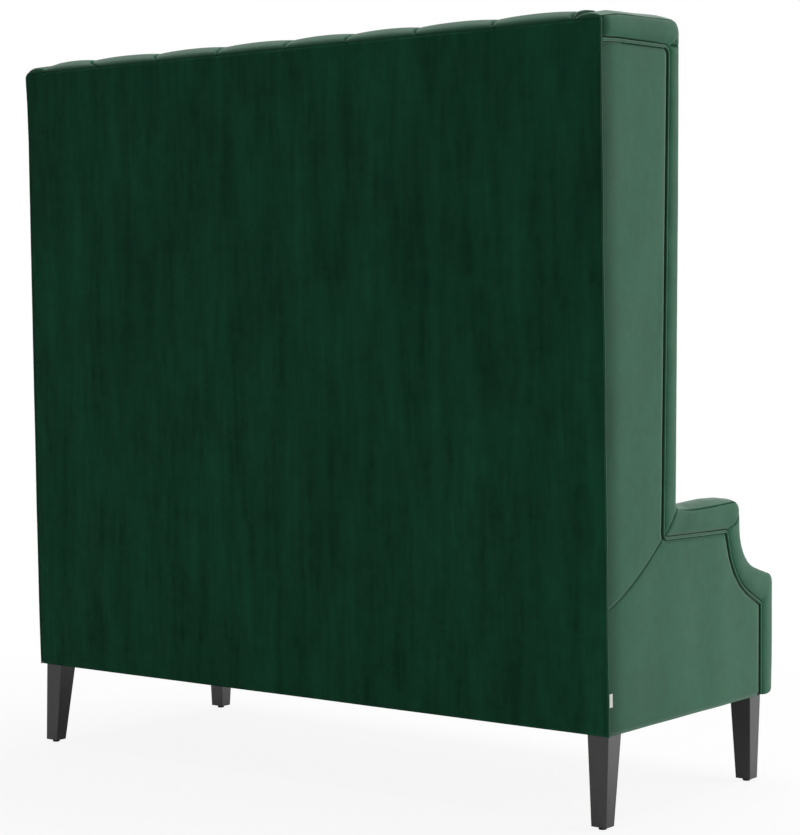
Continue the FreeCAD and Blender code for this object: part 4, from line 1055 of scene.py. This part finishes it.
def settle(piece, tree, values):
    """Runs a tree on a piece with its inputs set, and leaves a plain mesh of the result."""
    modifier = piece.modifiers.new(tree.name, "NODES")
    modifier.node_group = tree
    for item in tree.interface.items_tree:
        if item.in_out == "INPUT" and item.name in values:
            modifier[item.identifier] = values[item.name]
    bpy.context.view_layer.update()
    graph = bpy.context.evaluated_depsgraph_get()
    mesh = bpy.data.meshes.new_from_object(piece.evaluated_get(graph), depsgraph=graph)
    piece.modifiers.remove(modifier)
    made = bpy.data.objects.new(piece.name + "_set", mesh)
    name = piece.name
    scene.collection.objects.link(made)
    bpy.data.objects.remove(piece)
    made.name = name
    made.data.name = name
    return made


def button_tree():
    tree, shading = new_tree("covered_buttons", [
        ("Geometry", "NodeSocketGeometry", None), ("Radius", "NodeSocketFloat", 0.012),
        ("Doming", "NodeSocketFloat", 0.45), ("Lean", "NodeSocketFloat", 0.0),
        ("Material", "NodeSocketMaterial", None)])
    given = shading.add("NodeGroupInput").outputs
    ball = shading.add("GeometryNodeMeshUVSphere", {"Segments": 24, "Rings": 14, "Radius": given["Radius"]})
    flat = shading.add("ShaderNodeCombineXYZ", {"X": 1.0, "Y": given["Doming"], "Z": 1.0})
    domed = shading.add("GeometryNodeTransform", {
        "Geometry": ball.outputs["Mesh"], "Scale": flat.outputs["Vector"]})
    turn = shading.add("ShaderNodeCombineXYZ", {"X": given["Lean"]})
    spots = shading.add("GeometryNodeMeshToPoints", {"Mesh": given["Geometry"]})
    grow = shading.add("FunctionNodeRandomValue", data_type="FLOAT")
    grow.inputs["Seed"].default_value = 7
    grow.inputs[2].default_value = 0.95
    grow.inputs[3].default_value = 1.04
    placed = shading.add("GeometryNodeInstanceOnPoints", {
        "Points": spots.outputs["Points"], "Instance": domed.outputs["Geometry"],
        "Rotation": turn.outputs["Vector"]})
    shading.feed(placed.inputs["Scale"], grow.outputs[1])
    real = shading.add("GeometryNodeRealizeInstances", {"Geometry": placed.outputs["Instances"]})
    smooth = shading.add("GeometryNodeSetShadeSmooth", {"Geometry": real.outputs["Geometry"]})
    finished = shading.add("GeometryNodeSetMaterial", {
        "Geometry": smooth.outputs["Geometry"], "Material": given["Material"]})
    leave = shading.add("NodeGroupOutput")
    shading.feed(leave.inputs["Geometry"], finished.outputs["Geometry"])
    return tree


def button_spots():
    spots = []
    for row in range(ROWS):
        up = TOP_ROW - ROW_GAP * row
        shift = PITCH / 2.0 if row % 2 else 0.0
        for column in range(-4, 5):
            x = PITCH * column + shift
            if abs(x) < HALF_BACK - PITCH / 4.0:
                spots.append(leaned(np.array(x), np.array(PAD_FACE + AT_BUTTON + 0.0050), np.array(up)))
    return np.array(spots)


spots_mesh = bpy.data.meshes.new("back_buttons_covered")
spots_mesh.from_pydata(button_spots().tolist(), [], [])
buttons = bpy.data.objects.new("back_buttons_covered", spots_mesh)
scene.collection.objects.link(buttons)
buttons = settle(buttons, button_tree(), {
    "Radius": 0.012, "Doming": 0.45, "Lean": -lean, "Material": velvet_side})
dress(buttons, "velvet", "back_buttons")

# padded border under the cushion


FRONT_WIDE, FRONT_BED, FRONT_ROOT = 1.484, -0.3335, -0.334
FRONT_HIGH = 0.3495
FRONT_THICK, FRONT_SWELL, LAP_LOW, LAP_HIGH = 0.009, 0.0035, 0.008, 0.009


def front_border():
    across_x = (spread_parts(FRONT_WIDE, 0.003, 0.012) - 0.5) * FRONT_WIDE
    rows = np.linspace(0.0, 1.0, 36)[1:-1]
    lap = np.linspace(0.0, math.pi / 2.0, 6)
    upright = FRONT_HIGH - PANEL_FOOT - LAP_LOW - LAP_HIGH
    profile = [(FRONT_ROOT - FRONT_THICK * math.sin(turn), PANEL_FOOT + LAP_LOW - LAP_LOW * math.cos(turn))
               for turn in lap]
    profile += [(FRONT_ROOT - FRONT_THICK - FRONT_SWELL * math.sin(math.pi * part),
                 PANEL_FOOT + LAP_LOW + upright * part) for part in rows]
    profile += [(FRONT_ROOT - FRONT_THICK * math.cos(turn), FRONT_HIGH - LAP_HIGH + LAP_HIGH * math.sin(turn))
                for turn in lap]
    front = np.zeros((len(profile), len(across_x), 3))
    ends = smooth_step(0.0, 0.012, FRONT_WIDE / 2.0 - np.abs(across_x))
    for i, (y, z) in enumerate(profile):
        level_z = np.full_like(across_x, z)
        uneven = 0.0008 * drift(across_x, level_z, 81, 0.16)
        face_y = FRONT_BED + (y - FRONT_BED) * (0.55 + 0.45 * ends) + uneven
        front[i] = np.stack([across_x, face_y, level_z], axis=-1)
    back = front.copy()
    back[..., 1] = -0.3332
    return slab("front_border_velvet", front, back, velvet_side, np.zeros(front.shape[:2]), 60.0)


dress(front_border(), "velvet", "front_border", fill=0.9)

# loose seat cushion, blown up in its cover

CUSHION_FOOT = 0.3502
SEAM_LOW = 0.3642
SEAM_HIGH = 0.4402


def shell_from_node(node):
    """A closed copy of a CAD node's surface."""
    source = nodes[node].data.copy()
    shell = bmesh.new()
    shell.from_mesh(source)
    bmesh.ops.remove_doubles(shell, verts=shell.verts, dist=1e-5)
    shell.to_mesh(source)
    shell.free()
    return source


def evaluated_copy(piece):
    graph = bpy.context.evaluated_depsgraph_get()
    return bpy.data.meshes.new_from_object(piece.evaluated_get(graph), depsgraph=graph)


def mesh_points(mesh):
    flat = np.zeros(len(mesh.vertices) * 3, dtype=np.float32)
    mesh.vertices.foreach_get("co", flat)
    return flat.reshape(-1, 3).astype(float)


def set_points(mesh, points):
    mesh.vertices.foreach_set("co", points.astype(np.float32).reshape(-1))
    mesh.update()


def mesh_normals(mesh):
    flat = np.zeros(len(mesh.vertices) * 3, dtype=np.float32)
    mesh.vertex_normals.foreach_get("vector", flat)
    return flat.reshape(-1, 3).astype(float)


def blow_up(name, mesh, voxel, shrink, cap, frames):
    """Cloth over a closed form, filled from inside. No point moves further than the cap."""
    piece = bpy.data.objects.new(name, mesh)
    scene.collection.objects.link(piece)
    remesh = piece.modifiers.new("remesh", "REMESH")
    remesh.mode = "VOXEL"
    remesh.voxel_size = voxel
    bpy.context.view_layer.update()
    even = evaluated_copy(piece)
    piece.modifiers.remove(remesh)
    piece.data = even
    start = mesh_points(even)
    start = start - mesh_normals(even) * shrink
    set_points(even, start)
    cloth = piece.modifiers.new("cloth", "CLOTH")
    cloth.settings.quality = 4
    cloth.settings.mass = 0.3
    cloth.settings.tension_stiffness = 18.0
    cloth.settings.compression_stiffness = 12.0
    cloth.settings.bending_stiffness = 1.2
    cloth.settings.use_pressure = True
    cloth.settings.uniform_pressure_force = 4.0
    cloth.settings.effector_weights.gravity = 0.0
    cloth.collision_settings.use_collision = False
    cloth.collision_settings.use_self_collision = False
    cloth.point_cache.frame_start = 1
    cloth.point_cache.frame_end = frames
    for moment in range(1, frames + 1):
        scene.frame_set(moment)
    settled = mesh_points(evaluated_copy(piece))
    piece.modifiers.remove(cloth)
    scene.frame_set(1)
    move = settled - start
    length = np.linalg.norm(move, axis=1)
    move *= (np.minimum(length, cap) / np.maximum(length, 1e-9))[:, None]
    set_points(even, start + move)
    return piece


cushion_half_x = 0.736
cushion_front_y, cushion_rear_y = -0.335, 0.184
# the room between the arms, the bulge at the front and the tufted back behind
CUSHION_ROOM, CUSHION_NOSE, CUSHION_BACK = 0.7395, -0.340, 0.190


def cushion_seam(height, spacing=0.006):
    """Nominal line of a cushion seam: a rounded rectangle at a height."""
    inset = 0.003
    half, front_y, rear_y = cushion_half_x - inset, cushion_front_y + inset, cushion_rear_y - inset
    corners = [(half, rear_y), (-half, rear_y), (-half, front_y), (half, front_y)]
    bend = 0.034
    points = []
    for i, corner in enumerate(corners):
        here = np.array(corner)
        back = np.array(corners[i - 1]) - here
        onward = np.array(corners[(i + 1) % 4]) - here
        back /= np.linalg.norm(back)
        onward /= np.linalg.norm(onward)
        centre = here + (back + onward) * bend
        for turn in np.linspace(0.0, math.pi / 2.0, 9):
            points.append(centre - onward * bend * math.cos(turn) - back * bend * math.sin(turn))
        end = here + onward * bend
        following = np.array(corners[(i + 1) % 4]) - onward * bend
        count = int(np.linalg.norm(following - end) / spacing)
        for part in np.linspace(0.0, 1.0, count)[1:-1]:
            points.append(end + (following - end) * part)
    flat = np.array(points)
    return np.column_stack([flat, np.full(len(flat), height)])


def dress_cushion():
    piece = blow_up("seat_cushion_velvet", shell_from_node("seat_cushion"), 0.006, 0.0045, 0.010, 20)
    mesh = piece.data
    points = mesh_points(mesh)
    points[:, 2] = np.maximum(points[:, 2], CUSHION_FOOT)
    points[:, 0] = np.clip(points[:, 0], -CUSHION_ROOM, CUSHION_ROOM)
    proud = points[:, 1] < CUSHION_NOSE
    points[proud, 1] = CUSHION_NOSE + (points[proud, 1] - CUSHION_NOSE) * 0.3
    points[:, 1] = np.minimum(points[:, 1], CUSHION_BACK)
    set_points(mesh, points)
    tree = BVHTree.FromPolygons([Vector(p) for p in points], [tuple(face.vertices) for face in mesh.polygons])
    lines = []
    for height in (SEAM_LOW, SEAM_HIGH):
        line = []
        for point in cushion_seam(height):
            middle = Vector((point[0] * 0.97, (point[1] + 0.075) * 0.93 - 0.075, height))
            way = (Vector(point) - middle).normalized()
            hit = tree.ray_cast(middle - way * 0.02, way)[0]
            line.append(np.array(hit if hit is not None else point))
        line = np.array(line)
        kernel = np.ones(5) / 5.0
        wrapped = np.concatenate([line[-2:], line, line[:2]])
        evened = [np.convolve(wrapped[:, axis], kernel, mode="valid") for axis in range(3)]
        lines.append(np.stack(evened, axis=1))
    normals = mesh_normals(mesh)
    gather = np.zeros(len(points))
    side_band = np.flatnonzero(np.abs(normals[:, 2]) < 0.97)
    for line in lines:
        closed = np.vstack([line, line[:1]])
        near = np.full(len(points), 1.0)
        chunk = points[side_band]
        nearest = np.full(len(chunk), 1.0)
        for start, end in zip(closed, closed[1:]):
            nearest = np.minimum(nearest, to_segment(chunk, start, end))
        near[side_band] = nearest
        gather = np.maximum(gather, dip(near, 0.0065))
    points = points - normals * (0.0040 * gather)[:, None]
    top = smooth_step(0.46, 0.47, points[:, 2])
    points[:, 2] += 0.0012 * top * drift(points[:, 0], points[:, 1], 91, 0.12)
    set_points(mesh, points)
    # painted shade in the gathers along the cushion's seams
    layer = mesh.attributes.new("seam", "FLOAT", "POINT")
    layer.data.foreach_set("value", (0.75 * gather ** 3).astype(np.float32))
    mesh.shade_smooth()
    mesh.materials.clear()
    mesh.materials.append(velvet_side)
    finer = piece.modifiers.new("finer", "SUBSURF")
    finer.levels = 1
    finer.render_levels = 1
    dress(piece, "velvet", "seat_cushion", body="cushion", fill=0.8)
    cords = []
    for number, line in enumerate(lines):
        closed = np.vstack([line, line[:2]])
        cords.append(piped_cord("cushion_cord_%d" % number, closed, 0.0030, velvet_side, seed=92 + number,
                                bound=np.array([0.0, 0.0, 1.0])))
    joined = join_pieces("cushion_welts_velvet", cords)
    dress(joined, "velvet", "seat_cushion_welts", body="cushion")


def join_pieces(name, pieces):
    """One mesh out of several pieces with the same material."""
    shell = bmesh.new()
    for piece in pieces:
        shell.from_mesh(piece.data)
    mesh = bpy.data.meshes.new(name)
    shell.to_mesh(mesh)
    shell.free()
    mesh.materials.append(pieces[0].data.materials[0])
    for piece in pieces:
        bpy.data.objects.remove(piece)
    joined = bpy.data.objects.new(name, mesh)
    scene.collection.objects.link(joined)
    return joined


dress_cushion()

# seat deck under the cushion and the cloths that aren't seen from outside


def flat_pad(name, node, crown, material, slot, seed, fill, edge=0.006, cells=0.012):
    """Thin padded deck in the place of a flat CAD node."""
    low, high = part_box(node)
    columns = spread_parts(high.x - low.x, 0.003, cells) * (high.x - low.x) + low.x
    rows = spread_parts(high.y - low.y, 0.003, cells) * (high.y - low.y) + low.y
    grid_x, grid_y = np.meshgrid(columns, rows)
    rim = np.minimum(np.minimum(grid_x - low.x, high.x - grid_x), np.minimum(grid_y - low.y, high.y - grid_y))
    top = high.z - edge * dip(rim, edge) + crown * drift(grid_x, grid_y, seed, 0.2) - crown
    front = np.stack([grid_x, grid_y, top], axis=-1)
    back = np.stack([grid_x, grid_y, np.full_like(top, low.z)], axis=-1)
    return dress(slab(name, front, back, material, 0.4 * dip(rim, 0.004)), slot, node, fill=fill)


flat_pad("seat_deck_padded", "seat_platform", 0.0008, deck_cloth, "velvet", 101, 0.9)
flat_pad("spring_insulator_felt", "seat_insulator", 0.0001, insulator_felt, "hessian", 102, 0.2, edge=0.0004)


def hung_cloth(name, low_up, high_up, half_wide, depth, thick, material, node):
    columns = np.linspace(-half_wide, half_wide, 90)
    rows = np.linspace(low_up, high_up, 84)
    grid_x, grid_up = np.meshgrid(columns, rows)
    wave = 0.0002 * drift(grid_x, grid_up, 111, 0.2)
    front = leaned(grid_x, depth + thick + wave, grid_up)
    back = leaned(grid_x, depth + wave, grid_up)
    piece = slab(name, front, back, material)
    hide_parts(node)
    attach(piece, "settee")
    return piece


CLOTH_LOW, CLOTH_HIGH = 0.162, 1.390
hung_cloth("back_hessian_cloth", CLOTH_LOW, CLOTH_HIGH, HALF_BACK, 0.0461, 0.0007, hessian_cloth,
           "back_hessian")

STRAP_HALF, STRAP_LOW, STRAP_RIB = 0.025, 0.166, 0.0085
STRAP_FRONT, STRAP_REAR = 0.0456, 0.0443


def webbing_straps():
    straps = []
    for number in range(-3, 4):
        centre = PITCH * number
        columns = np.linspace(centre - STRAP_HALF, centre + STRAP_HALF, 13)
        rows = np.linspace(STRAP_LOW, CLOTH_HIGH, 205)
        grid_x, grid_up = np.meshgrid(columns, rows)
        ribs = 0.00015 * np.cos((grid_x - centre) * 2.0 * math.pi / STRAP_RIB)
        give = 0.00008 * np.abs(np.sin((grid_up - STRAP_LOW) * math.pi / 0.55))
        front = leaned(grid_x, STRAP_FRONT + ribs - give, grid_up)
        back = leaned(grid_x, np.full_like(grid_x, STRAP_REAR), grid_up)
        straps.append(slab("strap_%d" % (number + 4), front, back, webbing_cloth))
    return join_pieces("back_webbing_straps", straps)


dress(webbing_straps(), "webbing", "back_webbing")


def staple_tree():
    """Staples set along a line at even steps, each a flat crown of wire."""
    tree, shading = new_tree("staples", [
        ("Geometry", "NodeSocketGeometry", None), ("Spacing", "NodeSocketFloat", 0.06),
        ("Crown", "NodeSocketFloat", 0.011), ("Wire", "NodeSocketFloat", 0.0007),
        ("Material", "NodeSocketMaterial", None)])
    given = shading.add("NodeGroupInput").outputs
    path = shading.add("GeometryNodeMeshToCurve", {"Mesh": given["Geometry"]})
    spots = shading.add("GeometryNodeResampleCurve", {
        "Curve": path.outputs["Curve"], "Length": given["Spacing"]}, mode="LENGTH")
    tangent = shading.add("GeometryNodeInputTangent")
    turn = shading.add("FunctionNodeAlignRotationToVector", {"Vector": tangent.outputs["Tangent"]}, axis="X")
    size = shading.add("ShaderNodeCombineXYZ", {"X": given["Crown"], "Y": given["Wire"], "Z": given["Wire"]})
    crown = shading.add("GeometryNodeMeshCube", {"Size": size.outputs["Vector"]})
    placed = shading.add("GeometryNodeInstanceOnPoints", {
        "Points": spots.outputs["Curve"], "Instance": crown.outputs["Mesh"],
        "Rotation": turn.outputs["Rotation"]})
    real = shading.add("GeometryNodeRealizeInstances", {"Geometry": placed.outputs["Instances"]})
    finished = shading.add("GeometryNodeSetMaterial", {
        "Geometry": real.outputs["Geometry"], "Material": given["Material"]})
    leave = shading.add("NodeGroupOutput")
    shading.feed(leave.inputs["Geometry"], finished.outputs["Geometry"])
    return tree


def dust_cover():
    """Black cloth under the frame, turned in at its edges and cut round the legs."""
    source = shell_from_node("dust_cover")
    piece = bpy.data.objects.new("dust_cover_cloth", source)
    scene.collection.objects.link(piece)
    shell = bmesh.new()
    shell.from_mesh(source)
    bmesh.ops.dissolve_limit(shell, angle_limit=0.02, verts=shell.verts, edges=shell.edges)
    shell.to_mesh(source)
    shell.free()
    source.materials.clear()
    source.materials.append(dust_cloth)
    low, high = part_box("dust_cover")
    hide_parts("dust_cover")
    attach(piece, "settee")
    front_y, rear_y = low.y + 0.014, high.y - 0.020
    rows = [[(-0.735, front_y), (0.735, front_y)], [(0.735, rear_y), (-0.735, rear_y)]]
    rows += [[(x, -0.245), (x, 0.255)] for x in (-0.785, 0.785)]
    points, edges = [], []
    for line in rows:
        base = len(points)
        points += [(x, y, low.z - 0.0002) for x, y in line]
        edges.append((base, base + 1))
    mesh = bpy.data.meshes.new("dust_cover_staples")
    mesh.from_pydata(points, edges, [])
    staples = bpy.data.objects.new("dust_cover_staples", mesh)
    scene.collection.objects.link(staples)
    staples = settle(staples, staple_tree(), {"Spacing": 0.055, "Crown": 0.011, "Wire": 0.0008,
                                              "Material": spring_steel})
    dress(staples, "spring_steel")


dust_cover()

# finishes of the nodes that stay

STAYING = {
    black_wood: ("leg_front_left", "leg_front_right", "leg_rear_left", "leg_rear_right"),
    frame_timber: ("back_bottom_rail", "back_tuck_rail", "back_mid_rail", "back_top_rail",
                   "back_post_left", "back_post_right", "back_stud_left", "back_stud_right",
                   "wing_post_left", "wing_post_right",
                   "wing_top_rail_left", "wing_top_rail_right", "arm_rail_left", "arm_rail_right",
                   "arm_front_post_left", "arm_front_post_right", "seat_front_rail", "seat_rear_rail",
                   "seat_side_rail_left", "seat_side_rail_right", "seat_centre_rail", "corner_blocks"),
    plywood: ("side_ply_left", "side_ply_right"),
    spring_steel: ("seat_springs", "spring_clips", "leg_bolts"),
    glide_plastic: ("leg_glides",),
    tab_tape: ("seam_tab",),
}
for finish, labels in STAYING.items():
    for label in labels:
        mesh = nodes[label].data
        mesh.materials.clear()
        mesh.materials.append(finish)

# camera, at the photograph's place

CAMERA_PLACE = (-3.203, 4.076, 1.032)
HEADING, PITCH_DOWN, ROLL = math.radians(37.81), math.radians(2.68), math.radians(-0.28)
FOCAL_PIXELS, PHOTO_HEIGHT, SENSOR = 2264.0, 835.0, 36.0

ahead = Vector((math.sin(HEADING) * math.cos(PITCH_DOWN), -math.cos(HEADING) * math.cos(PITCH_DOWN),
                -math.sin(PITCH_DOWN)))
level = ahead.cross(Vector((0.0, 0.0, 1.0))).normalized()
upward = level.cross(ahead)
right = level * math.cos(ROLL) + upward * math.sin(ROLL)
up = upward * math.cos(ROLL) - level * math.sin(ROLL)
camera_data = bpy.data.cameras.new("camera")
camera_data.sensor_width = SENSOR
camera_data.lens = FOCAL_PIXELS / PHOTO_HEIGHT * SENSOR
camera = bpy.data.objects.new("camera", camera_data)
scene.collection.objects.link(camera)
turned = Matrix((right, up, -ahead)).transposed().to_4x4()
camera.matrix_world = Matrix.Translation(CAMERA_PLACE) @ turned
scene.camera = camera
scene.view_settings.view_transform = "Standard"

# soft studio light and a pale floor


def soft_light(name, place, target, wide, tall, power):
    data = bpy.data.lights.new(name, "AREA")
    data.shape = "RECTANGLE"
    data.size = wide
    data.size_y = tall
    data.energy = power
    light = bpy.data.objects.new(name, data)
    light.location = place
    light.rotation_mode = "QUATERNION"
    light.rotation_quaternion = (Vector(target) - Vector(place)).to_track_quat("-Z", "Y")
    scene.collection.objects.link(light)


# name, place, target, width, height, power
LIGHTS = (
    ("side_window", (-3.8, -2.2, 1.4), (-0.4, 0.0, 0.8), 2.4, 2.6, 124.0),
    ("overhead", (0.0, -0.6, 4.2), (0.0, 0.0, 0.5), 4.0, 3.0, 125.0),
    ("front_fill", (1.5, -5.0, 2.0), (0.0, 0.0, 0.8), 3.0, 2.5, 56.0),
    ("rear_fill", (0.5, 5.5, 2.6), (0.0, 0.0, 0.9), 3.5, 2.5, 17.0),
)
for light in LIGHTS:
    soft_light(*light)


def studio_world():
    world = bpy.data.worlds.new("studio")
    world.use_nodes = True
    world.node_tree.nodes.clear()
    shading = Shading(world.node_tree)
    path = shading.add("ShaderNodeLightPath")
    mirrors = shading.math("MAXIMUM", path.outputs["Is Glossy Ray"], path.outputs["Is Transmission Ray"])
    seen = shading.math("MAXIMUM", path.outputs["Is Camera Ray"], mirrors)
    soft = shading.add("ShaderNodeBackground", {"Color": WHITE, "Strength": 0.11})
    white = shading.add("ShaderNodeBackground", {"Color": WHITE, "Strength": 1.0})
    blend = shading.add("ShaderNodeMixShader")
    shading.feed(blend.inputs["Fac"], seen)
    shading.feed(blend.inputs[1], soft.outputs["Background"])
    shading.feed(blend.inputs[2], white.outputs["Background"])
    output = shading.add("ShaderNodeOutputWorld")
    shading.feed(output.inputs["Surface"], blend.outputs["Shader"])
    scene.world = world


studio_world()


def studio_floor():
    """Pale floor that reads white away from the settee and keeps its soft shadow."""
    material, shading, shader = new_material("studio_floor")
    shader.inputs["Base Color"].default_value = (0.86, 0.86, 0.86, 1.0)
    shader.inputs["Roughness"].default_value = 0.9
    shader.inputs["Specular IOR Level"].default_value = 0.1
    path = shading.add("ShaderNodeLightPath")
    white = shading.add("ShaderNodeEmission", {"Color": WHITE, "Strength": 1.0})
    blend = shading.add("ShaderNodeMixShader")
    place = shading.place()
    far = shading.add("ShaderNodeVectorMath", operation="LENGTH")
    shading.feed(far.inputs[0], place)
    share = shading.spread(far.outputs["Value"], 0.9, 2.2, 0.90, 1.0)
    shading.feed(blend.inputs["Fac"], shading.math("MULTIPLY", share, path.outputs["Is Camera Ray"]))
    shading.feed(blend.inputs[1], shader.outputs["BSDF"])
    shading.feed(blend.inputs[2], white.outputs["Emission"])
    output = next(node for node in material.node_tree.nodes if node.bl_idname == "ShaderNodeOutputMaterial")
    shading.feed(output.inputs["Surface"], blend.outputs["Shader"])
    mesh = bpy.data.meshes.new("studio_floor")
    half = 30.0
    corners = [(-half, -half, 0.0), (half, -half, 0.0), (half, half, 0.0), (-half, half, 0.0)]
    mesh.from_pydata(corners, [], [(0, 1, 2, 3)])
    mesh.materials.append(material)
    floor = bpy.data.objects.new("studio_floor", mesh)
    scene.collection.objects.link(floor)


studio_floor()

bpy.context.view_layer.update()
